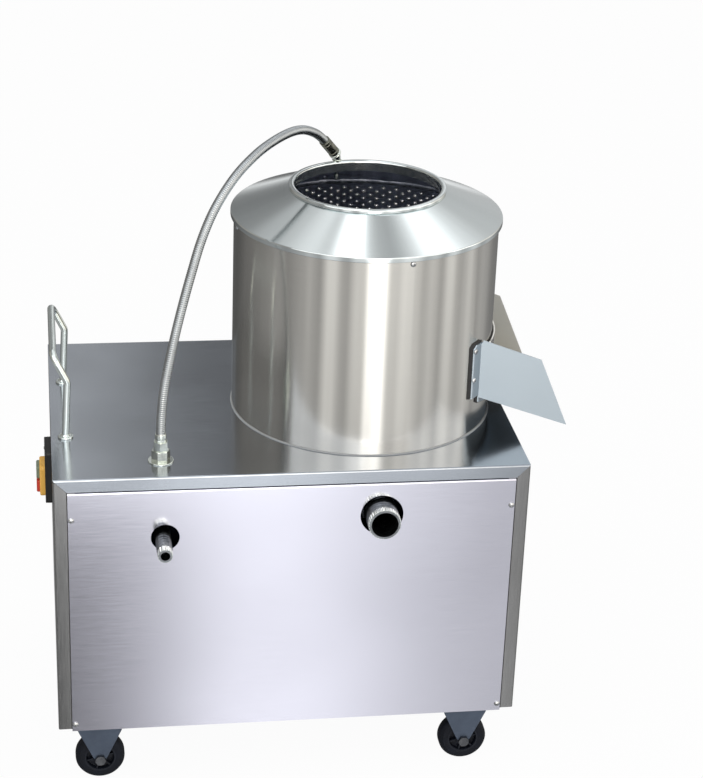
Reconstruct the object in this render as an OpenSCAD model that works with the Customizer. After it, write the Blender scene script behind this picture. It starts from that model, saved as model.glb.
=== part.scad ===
// Electric potato peeler: a wheeled steel cabinet that carries an open peeling drum.
// Millimetres. X runs right from the cabinet's left face, Y back from its front face and
// Z up from the floor; stand() then moves the model so that its box is centred on the origin.

/* [Cabinet] */
// Width of the cabinet
cab_w = 700; // [660:10:800]
// Depth of the cabinet
cab_d = 500; // [480:10:600]
// Height of the cabinet without its casters
cab_h = 420; // [400:10:500]
// Thickness of the cabinet's sheet steel
sheet_t = 1.5; // [1:0.25:2.5]
// Width of the folded flanges beside the front and back panels
flange_w = 20; // [16:1:28]
// Height of the top plate's folded lip
lip_h = 20; // [16:1:28]
// How far the front panel hangs below the cabinet's bottom edge
panel_drop = 4; // [0:1:8]
// Leg of the corner posts' angle steel
post_leg = 30; // [26:1:40]
// Thickness of the corner posts
post_t = 2.5; // [2:0.5:4]
// Height of the base pan's turned-up edge
pan_edge = 24; // [15:1:40]
// Side of the square tube of the inner rails
rail = 30; // [20:5:40]
// Height of the inner rails' underside above the cabinet's bottom edge
rail_up = 113; // [90:1:130]

/* [Back panel] */
// Length of one louvre
louvre_len = 90; // [60:5:120]
// Height of one louvre
louvre_h = 13; // [10:1:18]
// Depth that a louvre stands out
louvre_out = 7; // [4:1:9]
// Distance between rows of louvres
louvre_pitch = 24; // [20:1:32]
// Rows of louvres
louvre_rows = 7; // [3:1:8]
// Diameter of the cable gland's nut
gland_d = 26; // [20:1:32]
// Diameter of the hole through the cable gland
gland_bore = 9; // [6:1:12]

/* [Casters] */
// Overall height of a caster
caster_h = 103; // [95:1:125]
// Diameter of a caster wheel
wheel_d = 75; // [60:1:80]
// Width of a caster wheel
wheel_w = 28; // [22:1:32]
// Radius of the wheel's moulded hub
hub_r = 24; // [18:1:26]
// Caster wheel centre from the cabinet's left face
caster_left = 62; // [50:1:90]
// Caster wheel centre from the cabinet's right face
caster_right = 72; // [50:1:90]
// Caster wheel centre from the front and back faces
caster_in = 30; // [28:1:60]
// Width of the caster plate and of the fork where it leaves it
fork_w = 62; // [50:1:70]
// Thickness of the fork's steel
fork_t = 2.5; // [2:0.5:4]
// Diameter of the axle bolt
axle_d = 10; // [8:1:12]

/* [Drum] */
// Outer diameter of the barrel
barrel_d = 400; // [360:5:420]
// Height of the barrel above the cabinet
barrel_h = 306; // [280:1:360]
// Thickness of the barrel's sheet
barrel_t = 2; // [1.5:0.25:3]
// Barrel axis from the cabinet's right face
barrel_x = 220; // [210:1:230]
// Barrel axis from the cabinet's front face
barrel_y = 248; // [242:1:260]
// Thickness of the drum liner
liner_t = 1.2; // [1:0.1:2]
// Height of the sealant bead at the barrel's foot
bead = 3; // [2:0.5:6]
// Thickness of the waste basin's sheet
basin_t = 2; // [1.5:0.25:3]
// Depth of the basin's floor below the cabinet's top
basin_deep = 103; // [90:1:110]
// Height of the basin's rim above the cabinet's top
basin_rim = 30; // [20:1:34]

/* [Hood] */
// How far the hood's lip stands out past the barrel
hood_over = 5; // [4:0.5:12]
// Height of the hood's lip
hood_lip = 7.5; // [5:0.5:12]
// Rise of the cone from the lip to the mouth
hood_rise = 39; // [25:1:60]
// Thickness of the hood's sheet
hood_t = 2; // [1.5:0.25:3]
// Height of the hood's collar inside the barrel
hood_collar = 14; // [10:1:20]
// Clear diameter of the feed mouth
mouth_d = 220; // [180:5:240]
// Width of the band around the feed mouth
band_w = 13; // [12:1:18]
// Height of the band's inner wall
band_h = 16; // [12:1:24]
// Thickness of the band's sheet
band_t = 1.5; // [1:0.25:2.5]

/* [Discharge] */
// Direction of the discharge about the barrel axis, from +X
discharge_turn = 2; // [-6:1:6]
// Width of the opening in the barrel
opening_w = 180; // [150:5:180]
// Height of the opening in the barrel
opening_h = 60; // [50:1:64]
// Underside of the opening above the cabinet's top
opening_up = 65; // [64:1:70]
// Overall width of the chute
chute_w = 262; // [256:1:270]
// Distance from the barrel axis to the chute's lip
chute_reach = 299; // [280:1:330]
// How much shorter the side plates are along their top edge
chute_rake = 47; // [20:1:60]
// Height of the chute's side plates
chute_h = 91; // [80:1:110]
// Height of the chute's floor at the barrel above the cabinet's top
chute_up = 60; // [58:1:61]
// Slope of the chute in degrees
chute_slope = 20.5; // [16:0.5:26]
// Thickness of the chute's sheet
chute_t = 1.5; // [1:0.25:2.5]
// Width of the chute's flanges on the barrel
chute_flange = 20; // [16:1:24]
// Thickness of the gasket behind the chute
gasket_t = 2.4; // [1.5:0.1:3]
// Overlap of the door around the opening
door_lap = 10; // [8:1:11]
// Thickness of the door's sheet
door_t = 2; // [1.5:0.25:2.5]
// Thickness of the door's gasket
door_seal_t = 2; // [1.5:0.25:2.5]
// Diameter of the door hinge's knuckles
knuckle_d = 10; // [8:0.5:11]
// Diameter of the hinge pin
hinge_pin_d = 5; // [4:0.5:6]
// Diameter of the latch's spindle
spindle_d = 8; // [6:0.5:9]
// Length of the latch's handle from its spindle
latch_arm = 50; // [40:1:55]
// Length of the latch's tongue from its spindle
latch_tongue = 38; // [36:1:40]
// Width of the latch's bar
latch_w = 12; // [10:0.5:14]
// Thickness of the latch's bar
latch_t = 4; // [3:0.5:5]

/* [Peeling disc] */
// Gap between the abrasive disc and the liner
disc_gap = 5.6; // [4.6:0.1:12]
// Thickness of the abrasive disc
disc_t = 12; // [8:1:16]
// Top of the disc above the cabinet's top
disc_up = 54; // [52:1:55]
// Number of raised waves on the disc
wave_count = 6; // [4:1:8]
// Height of a wave above the disc
wave_h = 8; // [5:1:9]
// Radius of a wave's rounded crest
wave_r = 40; // [30:1:60]
// Height of the sweeping vanes under the disc
vane_h = 40; // [20:1:50]
// Diameter of the disc's centre cap
cap_d = 64; // [50:1:80]

/* [Drive] */
// Diameter of the main shaft
shaft_d = 30; // [25:1:35]
// Diameter of the driven pulley
big_pulley_d = 240; // [200:5:250]
// Diameter of the motor pulley
small_pulley_d = 60; // [50:5:70]
// Width of both pulleys
pulley_w = 26; // [24:1:30]
// Height of the pulleys' middle above the cabinet's bottom edge
pulley_up = 87; // [80:1:95]
// Motor axis from the cabinet's left face
motor_x = 190; // [180:1:200]
// Motor axis from the cabinet's front face
motor_y = 290; // [280:1:300]
// Diameter of the motor over its fins
motor_d = 150; // [130:2:160]
// Length of the motor's ribbed body
motor_len = 190; // [160:5:200]
// Diameter of the motor shaft
motor_shaft_d = 19; // [16:1:24]
// Outer diameter of the bearings
bearing_d = 62; // [56:1:72]
// Width of the bearings
bearing_w = 16; // [12:1:20]
// Length of the bearing housing
housing_len = 110; // [80:1:130]

/* [Water] */
// Inlet axis and hose fitting from the cabinet's left face
inlet_x = 158; // [150:1:180]
// Inlet axis above the cabinet's bottom edge
inlet_up = 318; // [300:1:326]
// Diameter of the inlet's hole in the front panel
inlet_hole_d = 42; // [36:1:50]
// Outer diameter of the inlet stub's end
inlet_d = 20; // [16:1:24]
// Bore of the inlet stub
inlet_bore = 14; // [10:1:14]
// How far the inlet stub stands out of the front
inlet_out = 50; // [40:1:80]
// Drain axis above the cabinet's bottom edge
drain_up = 345; // [343:1:348]
// Diameter of the drain's hole in the front panel
drain_hole_d = 64; // [58:1:72]
// Outer diameter of the drain stub
drain_d = 46; // [40:1:48]
// Bore of the drain stub
drain_bore = 40; // [30:1:40]
// How far the drain stub stands out of the front
drain_out = 30; // [25:1:50]
// Hose fitting from the cabinet's front face
fitting_y = 55; // [45:1:60]
// Diameter of the fitting's washer
washer_d = 38; // [32:1:46]
// Diameter of the flexible hose
hose_d = 14; // [12:1:16]
// Diameter of the hose's crimp sleeve
sleeve_d = 17; // [17:1:20]
// Length of the hose's crimp sleeve
sleeve_len = 36.4; // [30:0.2:44]
// Slope of the sleeve in degrees
hose_tilt = 42.7; // [38:0.1:48]
// Height of the nozzle's elbow above the band around the mouth
elbow_rise = 8; // [7:0.5:14]
// Diameter of the spray nozzle's tube
nozzle_d = 7.6; // [5:0.2:8]

/* [Handle] */
// Diameter of the handle's tube
handle_d = 11; // [9:1:14]
// Distance between the handle's two posts
handle_w = 201; // [160:1:240]
// Front post from the cabinet's front face
handle_y = 144; // [120:1:180]
// Handle's foot from the cabinet's left face
handle_x = 22; // [20:1:40]
// How far the posts lean inwards up to the elbow
post_in = 4; // [0:0.5:10]
// Height of the elbow above the cabinet's top
elbow_up = 90; // [60:1:120]
// Height of the cross bar above the cabinet's top
bar_up = 131; // [120:1:160]
// Cross bar from the cabinet's left face
bar_x = 6; // [4:1:16]
// Bend radius of the handle's tube
bend_r = 16; // [12:1:20]

/* [Switch] */
// Depth of the switch's back box
box_out = 10; // [8:1:14]
// Width of the switch's back box
box_w = 61; // [56:1:70]
// Height of the switch's back box
box_h = 86; // [76:1:96]
// Middle of the back box from the cabinet's front face
box_y = 184; // [150:1:210]
// Middle of the back box above the cabinet's bottom edge
box_up = 347; // [320:1:350]
// Depth of the bezel
bezel_out = 8; // [6:1:10]
// Width of the bezel
bezel_w = 43; // [38:1:50]
// Height of the bezel
bezel_h = 50; // [46:1:56]
// How far the bezel's middle lies below the back box's
bezel_low = 10; // [0:1:12]
// Width of a button
button_w = 27; // [22:1:32]
// Height of a button
button_h = 19; // [16:0.5:19.5]
// How far a button stands out of the bezel
button_out = 5; // [4:0.5:7]
// Gap between the two buttons
button_gap = 4; // [3:0.5:5]

/* [Hidden] */

$fn = 64;

// Clearances: shafts that run, pieces seated on a round wall, and bodies that pass each other
run_gap = 0.04;
seat_gap = 0.2;
pass_gap = 0.3;

// Tubes reach this far into a bend, which is thinner by join_less
join = 0.3;
join_less = 0.04;

// Heights above the floor
base_z = caster_h;
top_z = caster_h + cab_h;
seam_z = top_z + barrel_h;
lip_z = seam_z + hood_lip;
mouth_z = lip_z + hood_rise;

// Barrel axis from the cabinet's left face, and the radii of the drum
drum_x = cab_w - barrel_x;
barrel_r = barrel_d / 2;
wall_r = barrel_r - barrel_t;
basin_r = wall_r - seat_gap;
liner_r = wall_r - seat_gap;
disc_d = 2 * (liner_r - liner_t - disc_gap);
mouth_r = mouth_d / 2;
hood_r = barrel_r + hood_over;
cone_fall = hood_rise / (hood_r - mouth_r);
bore_z = top_z - basin_deep;

// Discharge: angles are measured about the barrel axis from the discharge direction
opening_z = top_z + opening_up;
chute_z = top_z + chute_up;
door_in_r = barrel_r + pass_gap + door_seal_t;
door_out_r = door_in_r + door_t;
door_half = opening_w / 2 + door_lap;
hinge_r = door_out_r + 3.7;
hinge_off = door_half + 10;
hinge_turn = asin(hinge_off / hinge_r);
latch_turn = -24;
latch_z = opening_z + opening_h / 2;
latch_in = door_out_r + 3.7;
latch_park = 45;
flange_r = barrel_r + gasket_t + 2 * seat_gap;
chute_edge_turn = asin(chute_w / 2 / barrel_r);
chute_root = barrel_r * cos(chute_edge_turn);
chute_tip_low = chute_z - (chute_reach - chute_root) * tan(chute_slope);

// Casters
wheel_z = wheel_d / 2;
cheek_in = wheel_w / 2 + 1.5;
caster_spots = [
    [caster_left, caster_in], [cab_w - caster_right, caster_in],
    [caster_left, cab_d - caster_in], [cab_w - caster_right, cab_d - caster_in]
];

// Drive
pulley_z = base_z + pulley_up;
rail_z = base_z + rail_up;
bracket_t = 6;
bracket_z = rail_z + rail;
motor_z = bracket_z + bracket_t;
disc_z = top_z + disc_up;
groove = 12;
belt_w = 13;
belt_t = 8;
belt_up = 1;
belt_side = 0.35;
belt_lean = tan(19);
fan_up = 3;
fan_h = 18;

// Water: the pipes' axes and how far their holes in the front panel sit off them
inlet_z = base_z + inlet_up;
inlet_hole_off = [3, 4];
drain_z = base_z + drain_up;
drain_hole_off = [0, 1];
nozzle_turn = 105.5;
nozzle_r = mouth_r + band_w / 2;
nozzle_xy = [drum_x + nozzle_r * cos(nozzle_turn), barrel_y + nozzle_r * sin(nozzle_turn)];
collar_z = mouth_z + 2.6;

// Hose and nozzle lie in the upright plane through the fitting and the nozzle: points are [along, up]
hose_foot = [inlet_x, fitting_y];
hose_span = norm(nozzle_xy - hose_foot);
hose_heading = (nozzle_xy - hose_foot) / hose_span;

// Nozzle: a straight sleeve from the hose's end towards the elbow's corner above the band
elbow_r = 14;
elbow_d = 11;
ring_len = 6;
elbow_corner = [hose_span, collar_z + elbow_rise];
sleeve_way = [cos(hose_tilt), -sin(hose_tilt)];
elbow_leg = elbow_r * tan((90 - hose_tilt) / 2);
elbow_from = elbow_corner - elbow_leg * sleeve_way;
hose_end = elbow_from - (ring_len + sleeve_len) * sleeve_way;

// Hose: it rises from the fitting, then falls to its sleeve; its last points are measured from the elbow
hose_rise = [
    [0, 44], [2, 75], [8, 111], [19, 149], [33, 189], [50, 231], [70, 275], [92, 318], [122, 357],
    [166, 392], [214, 414]
];
hose_fall = [[-163.6, 61.9], [-121.6, 65.9], [-88.6, 61.9], [-57.6, 48.9]];
hose_route = concat(
    [for (p = hose_rise) [p[0], top_z + p[1]]],
    [for (p = hose_fall) elbow_corner + p],
    [hose_end]
);

// Fasteners
screw_d = 5;
head_d = 9;
hood_screw_turns = [-172, -79, 8, 101];
hood_screw_z = seam_z - 5;
chute_screw_rows = [chute_z + 30, chute_z + 77];
panel_screw_in = 5;
panel_left = flange_w + 0.5;
panel_screw_rows = [base_z + 8, top_z - 65];

// Hinge knuckles of the door
knuckle_z = opening_z - 1;
knuckle_h = (opening_h + 2) / 3;

// Switch buttons
button_mid = (button_h + button_gap) / 2;
button_sunk = 4;

// Cable gland
gland_x = cab_w - 90;
gland_z = base_z + 60;

// The model's box, used to centre it
x_min = -(box_out + bezel_out + button_out);
x_max = drum_x + chute_reach * cos(discharge_turn) + chute_w / 2 * abs(sin(discharge_turn));
y_min = -inlet_out;
gland_len = 22;
y_max = cab_d + gland_len;

module stand() {
    translate([-(x_min + x_max) / 2, -(y_min + y_max) / 2, 0]) children();
}

module at_barrel(z = 0) {
    translate([drum_x, barrel_y, z]) children();
}

module at_discharge() {
    at_barrel() rotate(discharge_turn) children();
}

// A plain ring about Z
module ring(r_out, r_in, h) {
    difference() {
        cylinder(r = r_out, h = h);
        translate([0, 0, -1]) cylinder(r = r_in, h = h + 2);
    }
}

// A curved sheet about Z between two angles
module arc_sheet(r_in, t, from, to, h) {
    rotate(from) rotate_extrude(angle = to - from) translate([r_in, 0]) square([t, h]);
}

// A cylinder along Y that starts at y and runs towards +Y
module y_rod(r, h) {
    rotate([-90, 0, 0]) cylinder(r = r, h = h);
}

// A cylinder along +X
module x_rod(r, h) {
    rotate([0, 90, 0]) cylinder(r = r, h = h);
}

// A block with rounded upright edges, centred in X and Y
module soft_block(size, r) {
    hull() for (i = [-1, 1], j = [-1, 1])
        translate([i * (size[0] / 2 - r), j * (size[1] / 2 - r), 0]) cylinder(r = r, h = size[2], $fn = 24);
}

// ---- Cabinet ----

module post_shape(leg, t) {
    difference() {
        square(leg);
        translate([t, t]) square(leg);
    }
}

module base_pan() {
    inner_w = cab_w - 2 * sheet_t;
    inner_d = cab_d - 2 * sheet_t;
    color("dimgray") stand() difference() {
        translate([sheet_t, sheet_t, base_z]) cube([inner_w, inner_d, pan_edge]);
        translate([2 * sheet_t, 2 * sheet_t, base_z + sheet_t])
            cube([inner_w - 2 * sheet_t, inner_d - 2 * sheet_t, pan_edge]);
        for (x = [0, cab_w - post_leg - sheet_t], y = [0, cab_d - post_leg - sheet_t])
            translate([x, y, base_z + sheet_t]) cube([post_leg + sheet_t, post_leg + sheet_t, pan_edge]);
    }
}

module corner_posts() {
    h = cab_h - 2 * sheet_t;
    color("gray") stand() for (i = [0, 1], j = [0, 1])
        translate([i == 0 ? sheet_t : cab_w - sheet_t, j == 0 ? sheet_t : cab_d - sheet_t, base_z + sheet_t])
            mirror([i, 0, 0]) mirror([0, j, 0]) difference() {
                linear_extrude(h) post_shape(post_leg, post_t);
                for (z = panel_screw_rows)
                    translate([panel_left + panel_screw_in - sheet_t, -1, z - base_z - sheet_t])
                        y_rod(screw_d / 2, post_t + 2);
            }
}

module support_rails() {
    wall = 2;
    len = cab_w - 2 * sheet_t;
    color("gray") stand() for (y = [post_leg + 4, cab_d - post_leg - 4 - rail])
        translate([sheet_t, y, rail_z]) difference() {
            cube([len, rail, rail]);
            translate([-1, wall, wall]) cube([len + 2, rail - 2 * wall, rail - 2 * wall]);
        }
}

module lip_shape() {
    polygon([[0, 0], [cab_w, 0], [cab_w - flange_w, -lip_h], [flange_w, -lip_h]]);
}

module top_plate() {
    color("silver") stand() difference() {
        union() {
            translate([0, 0, top_z - sheet_t]) cube([cab_w, cab_d, sheet_t]);
            for (y = [sheet_t, cab_d]) translate([0, y, top_z]) rotate([90, 0, 0]) linear_extrude(sheet_t) lip_shape();
        }
        at_barrel(top_z - sheet_t - 1) cylinder(r = basin_r + seat_gap / 2, h = sheet_t + 2);
        translate([inlet_x, fitting_y, top_z - sheet_t - 1]) cylinder(d = 18.4, h = sheet_t + 2);
    }
}

// Outline of a folded flange, mitred to meet the top plate's lip
module flange_shape() {
    top = cab_h - sheet_t - pass_gap;
    mitre = 0.4;
    polygon([
        [0, 0], [flange_w, 0], [flange_w, cab_h - lip_h - mitre],
        [(cab_h - top) * flange_w / lip_h - mitre, top], [0, top]
    ]);
}

module side_panel() {
    translate([0, 0, base_z]) cube([sheet_t, cab_d, cab_h - sheet_t]);
    for (y = [sheet_t, cab_d])
        translate([0, y, base_z]) rotate([90, 0, 0]) linear_extrude(sheet_t) flange_shape();
}

module left_side_panel() {
    color("gray") stand() side_panel();
}

module right_side_panel() {
    color("gray") stand() translate([cab_w, 0, 0]) mirror([1, 0, 0]) side_panel();
}

// A flat inset panel with a stiffening fold along its top, in the plane y = 0
module inset_panel(drop) {
    w = cab_w - 2 * panel_left;
    h = cab_h - lip_h - 1.5 + drop;
    fold = 12;
    difference() {
        union() {
            translate([panel_left, 0, base_z - drop]) cube([w, sheet_t, h]);
            translate([post_leg + 4, 0, base_z - drop + h - sheet_t])
                cube([cab_w - 2 * (post_leg + 4), fold, sheet_t]);
        }
        for (x = [panel_left + panel_screw_in, cab_w - panel_left - panel_screw_in], z = panel_screw_rows)
            translate([x, -1, z]) y_rod(screw_d / 2, sheet_t + 2);
    }
}

module front_panel() {
    color("lightsteelblue") stand() difference() {
        inset_panel(panel_drop);
        translate([inlet_x + inlet_hole_off[0], -1, inlet_z + inlet_hole_off[1]])
            y_rod(inlet_hole_d / 2, sheet_t + 2);
        translate([drum_x + drain_hole_off[0], -1, drain_z + drain_hole_off[1]])
            y_rod(drain_hole_d / 2, sheet_t + 2);
    }
}

// A pressed louvre in Y and Z: its rounded skin leaves the panel at the top and is open below
module louvre_skin(grow) {
    out = louvre_out + grow;
    high = louvre_h + grow;
    polygon(concat([[0, 0]], [for (a = [0 : 15 : 90]) [out * cos(a), high * sin(a)]]));
}

module louvre_hood() {
    skin = 1;
    rotate([90, 0, 90]) difference() {
        linear_extrude(louvre_len) louvre_skin(0);
        translate([0, -0.01, skin]) linear_extrude(louvre_len - 2 * skin) louvre_skin(-skin);
    }
}

module back_panel() {
    cols = [cab_w * 0.3, cab_w * 0.7];
    first = base_z + 150;
    color("lightsteelblue") stand() difference() {
        union() {
            translate([cab_w, cab_d, 0]) rotate(180) inset_panel(panel_drop);
            for (x = cols, i = [0 : louvre_rows - 1])
                translate([x - louvre_len / 2, cab_d, first + i * louvre_pitch]) louvre_hood();
        }
        for (x = cols, i = [0 : louvre_rows - 1])
            translate([x - louvre_len / 2 + 1, cab_d - sheet_t - 1, first + i * louvre_pitch])
                cube([louvre_len - 2, sheet_t + 2, louvre_h - 4]);
        translate([gland_x, cab_d - sheet_t - 1, gland_z]) y_rod(gland_d * 0.31, sheet_t + 2);
    }
}

module cable_gland() {
    inner = 8;
    color([0.1, 0.1, 0.1]) stand() translate([gland_x, cab_d, gland_z]) difference() {
        union() {
            rotate([-90, 0, 0]) cylinder(d = gland_d, h = 8, $fn = 6);
            translate([0, 8, 0]) y_rod(gland_d * 0.42, gland_len - 12);
            translate([0, gland_len - 4, 0]) rotate([-90, 0, 0])
                cylinder(r1 = gland_d * 0.42, r2 = gland_d * 0.3, h = 4);
            translate([0, -sheet_t - inner, 0]) y_rod(gland_d * 0.3, sheet_t + inner);
            translate([0, -sheet_t - inner, 0]) rotate([-90, 0, 0]) cylinder(d = gland_d, h = inner, $fn = 6);
        }
        translate([0, -sheet_t - inner - 1, 0]) y_rod(gland_bore / 2, gland_len + sheet_t + inner + 2);
    }
}

// A dome-head screw along +X: the head's seat is at the origin and the shank runs to -X
module dome_screw(shank) {
    rotate([0, 90, 0]) rotate_extrude() polygon(concat(
        [[0, -shank], [screw_d / 2 - 0.1, -shank], [screw_d / 2 - 0.1, 0], [head_d / 2, 0]],
        [for (a = [20 : 20 : 80]) [head_d / 2 * cos(a), 2.8 * sin(a)]],
        [[0, 2.8]]
    ));
}

module dome_screws() {
    color("silver") stand() {
        for (x = [panel_left + panel_screw_in, cab_w - panel_left - panel_screw_in], z = panel_screw_rows) {
            translate([x, 0, z]) rotate(-90) dome_screw(8);
            translate([x, cab_d, z]) rotate(90) dome_screw(8);
        }
        for (a = hood_screw_turns)
            at_barrel(hood_screw_z) rotate(a) translate([barrel_r, 0, 0]) dome_screw(6);
        for (side = [-1, 1], z = chute_screw_rows)
            at_discharge() rotate(side * chute_screw_turn()) translate([flange_r + chute_t, 0, z]) dome_screw(7);
    }
}

function chute_screw_turn() = chute_edge_turn + chute_flange / 2 / flange_r * 180 / PI + 1;

// ---- Drum ----

// The opening through the drum's walls, in the discharge frame
module opening_cut() {
    translate([0, -opening_w / 2, opening_z]) cube([barrel_r + 50, opening_w, opening_h]);
}

module hood_screw_holes() {
    for (a = hood_screw_turns) rotate(a) translate([wall_r - 10, 0, hood_screw_z]) x_rod(screw_d / 2, 20);
}

module chute_screw_holes() {
    for (side = [-1, 1], z = chute_screw_rows)
        rotate(side * chute_screw_turn()) translate([barrel_r - 12, 0, z]) x_rod(screw_d / 2, 20);
}

// The hook that holds the latch's tongue, in the latch's frame: X out of the barrel
module keeper() {
    from = latch_in - 0.3;
    gap = latch_t + 0.6;
    difference() {
        translate([barrel_r - 6, -41, latch_z - latch_w / 2 - pass_gap - 5]) cube([from + gap + 3 - barrel_r + 6, 13, 20]);
        translate([from, -45, latch_z - latch_w / 2 - pass_gap]) cube([gap, 21, 30]);
    }
}

module barrel_shell() {
    color("silver") stand() difference() {
        union() {
            at_barrel(top_z) ring(barrel_r, wall_r, hood_under(barrel_r) - seat_gap - top_z);
            at_discharge() difference() {
                rotate(latch_turn) keeper();
                cylinder(r = barrel_r - barrel_t / 2, h = 2 * top_z);
            }
        }
        at_discharge() opening_cut();
        at_discharge() chute_screw_holes();
        at_barrel() hood_screw_holes();
    }
}

module barrel_bead() {
    color("dimgray") stand() at_barrel(top_z) rotate_extrude()
        polygon([[barrel_r + seat_gap, 0], [barrel_r + bead, 0], [barrel_r + seat_gap + 1, bead], [barrel_r + seat_gap, bead]]);
}

module drum_liner() {
    foot = top_z + basin_rim;
    color("dimgray") stand() difference() {
        at_barrel(foot) ring(liner_r, liner_r - liner_t, seam_z - hood_collar - foot);
        at_discharge() opening_cut();
        at_discharge() chute_screw_holes();
    }
}

module waste_basin() {
    foot = bore_z - basin_t;
    color("silver") stand() difference() {
        at_barrel(foot) cylinder(r = basin_r, h = top_z + basin_rim - foot);
        at_barrel(bore_z) cylinder(r = basin_r - basin_t, h = basin_deep + basin_rim + 1);
        at_barrel(foot - 1) cylinder(d = bearing_d + 4, h = basin_t + 2);
        translate([drum_x, barrel_y - barrel_r - 5, drain_z]) y_rod(drain_bore / 2, 40);
    }
}

// Height of the hood's upper and lower skin at a distance from its axis
function hood_over_z(r) = lip_z + (hood_r - r) * cone_fall;
function hood_under(r) = hood_over_z(r) - hood_t / cos(atan(cone_fall));

// The hood's lip and its inner collar take the barrel's rim between them
module hood_shape() {
    in_r = liner_r - hood_t;
    rim_r = mouth_r + band_t + seat_gap;
    lip_r = hood_r - hood_t;
    polygon([
        [in_r, seam_z - hood_collar], [liner_r, seam_z - hood_collar], [liner_r, hood_under(liner_r)],
        [lip_r, hood_under(lip_r)], [lip_r, seam_z], [hood_r - 0.5, seam_z], [hood_r, seam_z + 0.5],
        [hood_r, lip_z - 0.5], [hood_r - 0.6, hood_over_z(hood_r - 0.6)],
        [rim_r, hood_over_z(rim_r)], [rim_r, hood_under(rim_r)], [in_r, hood_under(in_r)]
    ]);
}

module nozzle_hole() {
    translate([nozzle_xy[0], nozzle_xy[1], seam_z]) cylinder(d = nozzle_d + 0.6, h = collar_z + 5 - seam_z);
}

module hood() {
    color("silver") stand() difference() {
        at_barrel() rotate_extrude() hood_shape();
        at_barrel() hood_screw_holes();
        nozzle_hole();
    }
}

module feed_collar() {
    out_r = mouth_r + band_w;
    seat = hood_over_z(out_r - band_t) + seat_gap;
    color("silver") stand() difference() {
        at_barrel() rotate_extrude() polygon([
            [mouth_r, collar_z - band_h], [mouth_r + band_t, collar_z - band_h], [mouth_r + band_t, collar_z - band_t],
            [out_r - band_t, collar_z - band_t], [out_r - band_t, seat], [out_r, seat],
            [out_r, collar_z - 1], [out_r - 1, collar_z], [mouth_r + 0.6, collar_z], [mouth_r, collar_z - 0.6]
        ]);
        nozzle_hole();
    }
}

// ---- Discharge ----

// A piece of a round wall about Z: the outline is drawn in Y and Z, seen from +X
module wall_piece(r_in, t) {
    intersection() {
        translate([0, 0, top_z]) ring(r_in + t, r_in, barrel_h);
        rotate([90, 0, 90]) linear_extrude(barrel_r + 60) children();
    }
}

// Outline of the chute's flange on one side, with its outer upper corner cut off
module chute_flange_shape(in, out, from, to) {
    cut = 5;
    for (s = [0, 1]) mirror([s, 0])
        polygon([[in, from], [out, from], [out, to - cut], [out - cut, to], [in, to]]);
}

// Height of the top of the chute's floor at a distance from the barrel axis
function floor_z(x) = chute_z - (x - chute_root) * tan(chute_slope);

// Side plate of the chute in X and Z: root, lip and raked end
module chute_side_shape() {
    root = flange_r * cos(asin((chute_w / 2 - chute_t) / flange_r));
    deep = chute_t / cos(chute_slope);
    top_end = chute_reach - chute_rake;
    polygon([
        [root, floor_z(root) - deep], [chute_reach, floor_z(chute_reach) - deep],
        [top_end, floor_z(top_end) + chute_h], [root + 4, floor_z(root) + chute_h], [root, floor_z(root) + chute_h - 7]
    ]);
}

// What lies between two depths below the chute's floor, within a half width
module floor_band(from, to, half) {
    rotate([90, 0, 0]) linear_extrude(2 * half, center = true) polygon([
        [0, floor_z(0) - to], [2 * barrel_r, floor_z(2 * barrel_r) - to],
        [2 * barrel_r, floor_z(2 * barrel_r) - from], [0, floor_z(0) - from]
    ]);
}

// Outline of the chute's sloping floor in X and Z
module chute_floor_shape() {
    deep = chute_t / cos(chute_slope);
    last = chute_reach - 1;
    polygon([
        [chute_root, floor_z(chute_root) - deep], [last, floor_z(last) - deep],
        [last, floor_z(last)], [chute_root, floor_z(chute_root)]
    ]);
}

// Where a flange ends that starts behind the chute's side plate
function flange_end(w) = flange_r * sin(asin(chute_w / 2 / flange_r) + w / flange_r * 180 / PI);

module chute() {
    side_y = chute_w / 2;
    color("silver") stand() at_discharge() difference() {
        union() {
            for (y = [-side_y + chute_t, side_y])
                translate([0, y, 0]) rotate([90, 0, 0]) linear_extrude(chute_t) chute_side_shape();
            wall_piece(flange_r, chute_t)
                chute_flange_shape(side_y - chute_t, flange_end(chute_flange), chute_z, chute_z + chute_h - 5);
            difference() {
                rotate([90, 0, 0]) linear_extrude(chute_w - chute_t, center = true) chute_floor_shape();
                cylinder(r = flange_r + chute_t / 2, h = 2 * top_z);
            }
            intersection() {
                translate([0, 0, top_z]) ring(flange_r + chute_t, flange_r, barrel_h);
                floor_band(chute_t / 2, 10, side_y - 1);
            }
        }
        chute_screw_holes();
    }
}

module chute_gasket() {
    in = chute_w / 2 - 4;
    in_r = barrel_r + seat_gap;
    color([0.08, 0.08, 0.08]) stand() at_discharge() difference() {
        intersection() {
            translate([0, 0, top_z]) ring(in_r + gasket_t, in_r, barrel_h);
            union() {
                rotate([90, 0, 90]) linear_extrude(barrel_r + 60)
                    chute_flange_shape(in, flange_end(chute_flange + 4), chute_z + 1, chute_z + chute_h - 2);
                floor_band(-5, 12, in + 4);
            }
        }
        chute_screw_holes();
    }
}

// In the hinge's frame X runs out of the barrel through the pin
module at_hinge() {
    rotate(hinge_turn) translate([hinge_r, 0, 0]) children();
}

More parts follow.
